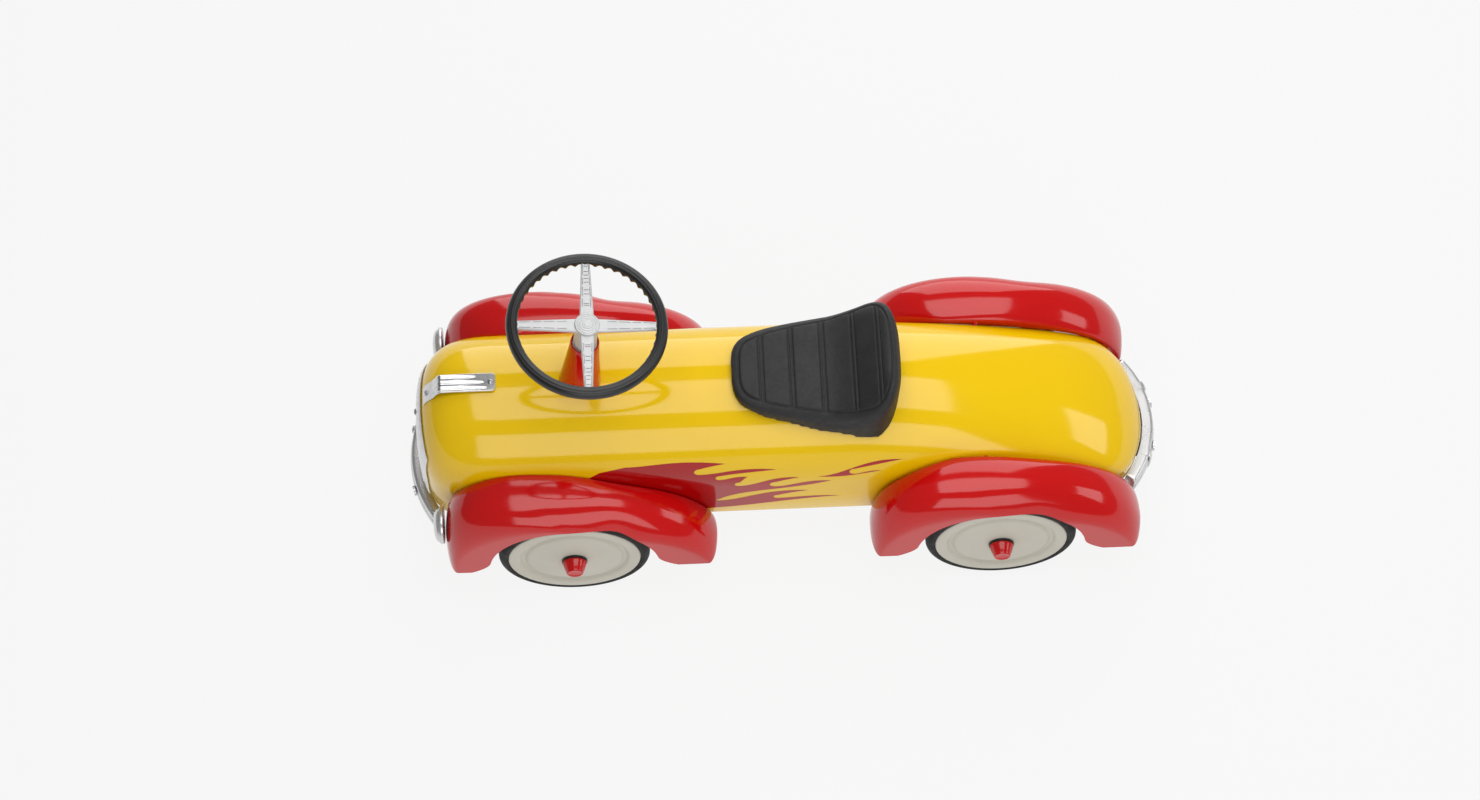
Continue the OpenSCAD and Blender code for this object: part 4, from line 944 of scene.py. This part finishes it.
def sew(pad):
    """Presses the seams and sewn channels into the top, and sets the pad forward."""
    outline = seat_outline()
    channels = [20 * MM, -10 * MM, -41 * MM, -71.5 * MM, -95.5 * MM]
    count = len(pad.data.vertices)
    co, normal = np.empty(count * 3), np.empty(count * 3)
    pad.data.vertices.foreach_get("co", co)
    pad.data.vertices.foreach_get("normal", normal)
    co, normal = co.reshape(-1, 3), normal.reshape(-1, 3)
    near = np.full(count, 1.0)
    for a, b in zip(outline, np.roll(outline, -1, axis=0)):
        ab = b - a
        t = np.clip(((co[:, :2] - a) @ ab) / max(1e-12, ab @ ab), 0, 1)
        near = np.minimum(near, np.linalg.norm(co[:, :2] - a - t[:, None] * ab, axis=1))
    on_top = np.clip((normal[:, 2] - 0.5) / 0.3, 0, 1)
    inside = np.clip((near - 9.2 * MM) / (0.8 * MM), 0, 1)
    press = 1.5 * MM * np.exp(-((near - 8.6 * MM) / (0.75 * MM)) ** 2)
    for x in channels:
        for dx in (-1.8 * MM, 1.8 * MM):
            press += 1.7 * MM * inside * np.exp(-((co[:, 0] - x - dx) / (0.55 * MM)) ** 2)
        press += 0.5 * MM * inside * np.exp(-((co[:, 0] - x) / (2.6 * MM)) ** 2)
    edges = [SEAT_FRONT] + channels + [SEAT_REAR]
    for ahead, behind in zip(edges, edges[1:]):
        mid, half = (ahead + behind) / 2, (ahead - behind) / 2
        press -= 0.6 * MM * inside * np.clip(1 - ((co[:, 0] - mid) / half) ** 2, 0, 1)
    co[:, 2] -= press * on_top
    co[:, 0] += PAD_FORWARD
    pad.data.vertices.foreach_set("co", co.ravel())
    pad.data.update()


# ---------------------------------------------------------------- carried-over CAD nodes

CARRIED = {
    "front_crossmember": CHASSIS, "rear_crossmember": CHASSIS, "front_axle_beam": CHASSIS,
    "bumper_bars": CHASSIS, "seat_pan": CHASSIS, "crossmember_rivets": ZINC, "kingpins": ZINC,
    "rear_axle": ZINC, "fender_rivets": RED, "headlight_nuts": ZINC, "seat_bolts": ZINC,
    "bar_bolts": ZINC, "bumper_bolts": CHROME, "steering_shaft": ZINC, "knuckle_left": ZINC,
    "knuckle_right": ZINC, "tie_rod": ZINC, "column_upper_bush": NYLON, "column_lower_bush": NYLON,
    "bush_front_left": NYLON, "bush_front_right": NYLON, "bush_rear_left": NYLON,
    "bush_rear_right": NYLON, "washer_front_left": BLACK, "washer_front_right": BLACK,
    "washers_rear": BLACK}


def paint_carried():
    for name, material in CARRIED.items():
        node = frame["nodes"][name]
        if not node.material_slots:
            node.data.materials.append(material)
        for slot in node.material_slots:
            slot.material = material


# ---------------------------------------------------------------- studio

def panel(name, place, target, size, size_y, power):
    light = bpy.data.lights.new(name, "AREA")
    light.shape, light.size, light.size_y, light.energy = "RECTANGLE", size, size_y, power
    lamp = bpy.data.objects.new(name, light)
    bpy.context.collection.objects.link(lamp)
    lamp.location = place
    lamp.rotation_euler = (Vector(target) - Vector(place)).to_track_quat("-Z", "Y").to_euler()
    lamp.visible_camera = False
    return lamp


def radiance(size, size_y, level):
    """Power in watts of a panel that looks level times as bright as white."""
    return level * math.pi * size * size_y


def make_studio():
    scene = bpy.context.scene
    scene.view_settings.view_transform = "Standard"
    world = bpy.data.worlds.new("studio")
    scene.world = world
    world.use_nodes = True
    sky = world.node_tree.nodes["Background"]
    sky.inputs["Color"].default_value = (1, 1, 1, 1)
    sky.inputs["Strength"].default_value = 0.22
    bright = 2.6
    top = panel("ceiling", (-0.25, 0, 1.7), (-0.25, 0, 0.2), 1.5, 1.32, radiance(1.5, 1.32, bright))
    top.rotation_euler = (0, 0, 0)
    panel("far_wall", (-0.25, -1.6, 1.25), (-0.25, 0, 1.25), 1.7, 2.3, radiance(1.7, 2.3, bright * 0.9))
    panel("near_wall", (-0.25, 1.75, 1.15), (-0.25, 0, 0.6), 1.7, 1.25, radiance(1.7, 1.25, bright * 0.9))
    panel("rear_wall", (-2.0, 0.1, 1.0), (0, 0.1, 0.3), 1.0, 0.7, radiance(1.0, 0.7, bright))
    shape = Shape()
    shape.grid([[Vector((x, y, -0.0004)) for y in (-14, 14)] for x in (-14, 14)])
    mesh = bpy.data.meshes.new("floor")
    mesh.from_pydata(shape.points, [], shape.faces)
    floor = bpy.data.objects.new("floor", mesh)
    bpy.context.collection.objects.link(floor)
    paper = bpy.data.materials.new("pale_paper")
    paper.use_nodes = True
    shader = paper.node_tree.nodes["Principled BSDF"]
    shader.inputs["Base Color"].default_value = (0.05, 0.05, 0.05, 1)
    shader.inputs["Roughness"].default_value = 0.9
    shader.inputs["Specular IOR Level"].default_value = 0.0
    shader.inputs["Emission Color"].default_value = (1, 1, 1, 1)
    shader.inputs["Emission Strength"].default_value = 0.885
    floor.data.materials.append(paper)
    camera = bpy.data.cameras.new("camera")
    camera.lens, camera.sensor_width = 85, 36
    eye = bpy.data.objects.new("camera", camera)
    bpy.context.collection.objects.link(eye)
    eye.location = (0.1110, 1.5608, 3.2887)
    aim = Vector((0.0418, -0.0296, 0.100)) - eye.location
    eye.rotation_euler = aim.to_track_quat("-Z", "Y").to_euler()
    scene.camera = eye


make_body()
make_flames()
for end in ("front", "rear"):
    make_bumper(end)
    for side, word in ((LEFT, "left"), (RIGHT, "right")):
        make_fender(end, side, word)
        make_wheel(end, side, word)
for word in ("left", "right"):
    make_headlight(word)
make_grille()
make_ornament()
make_screws()
make_overriders()
make_cover()
make_rim()
make_spokes()
make_seat()
paint_carried()
make_studio()
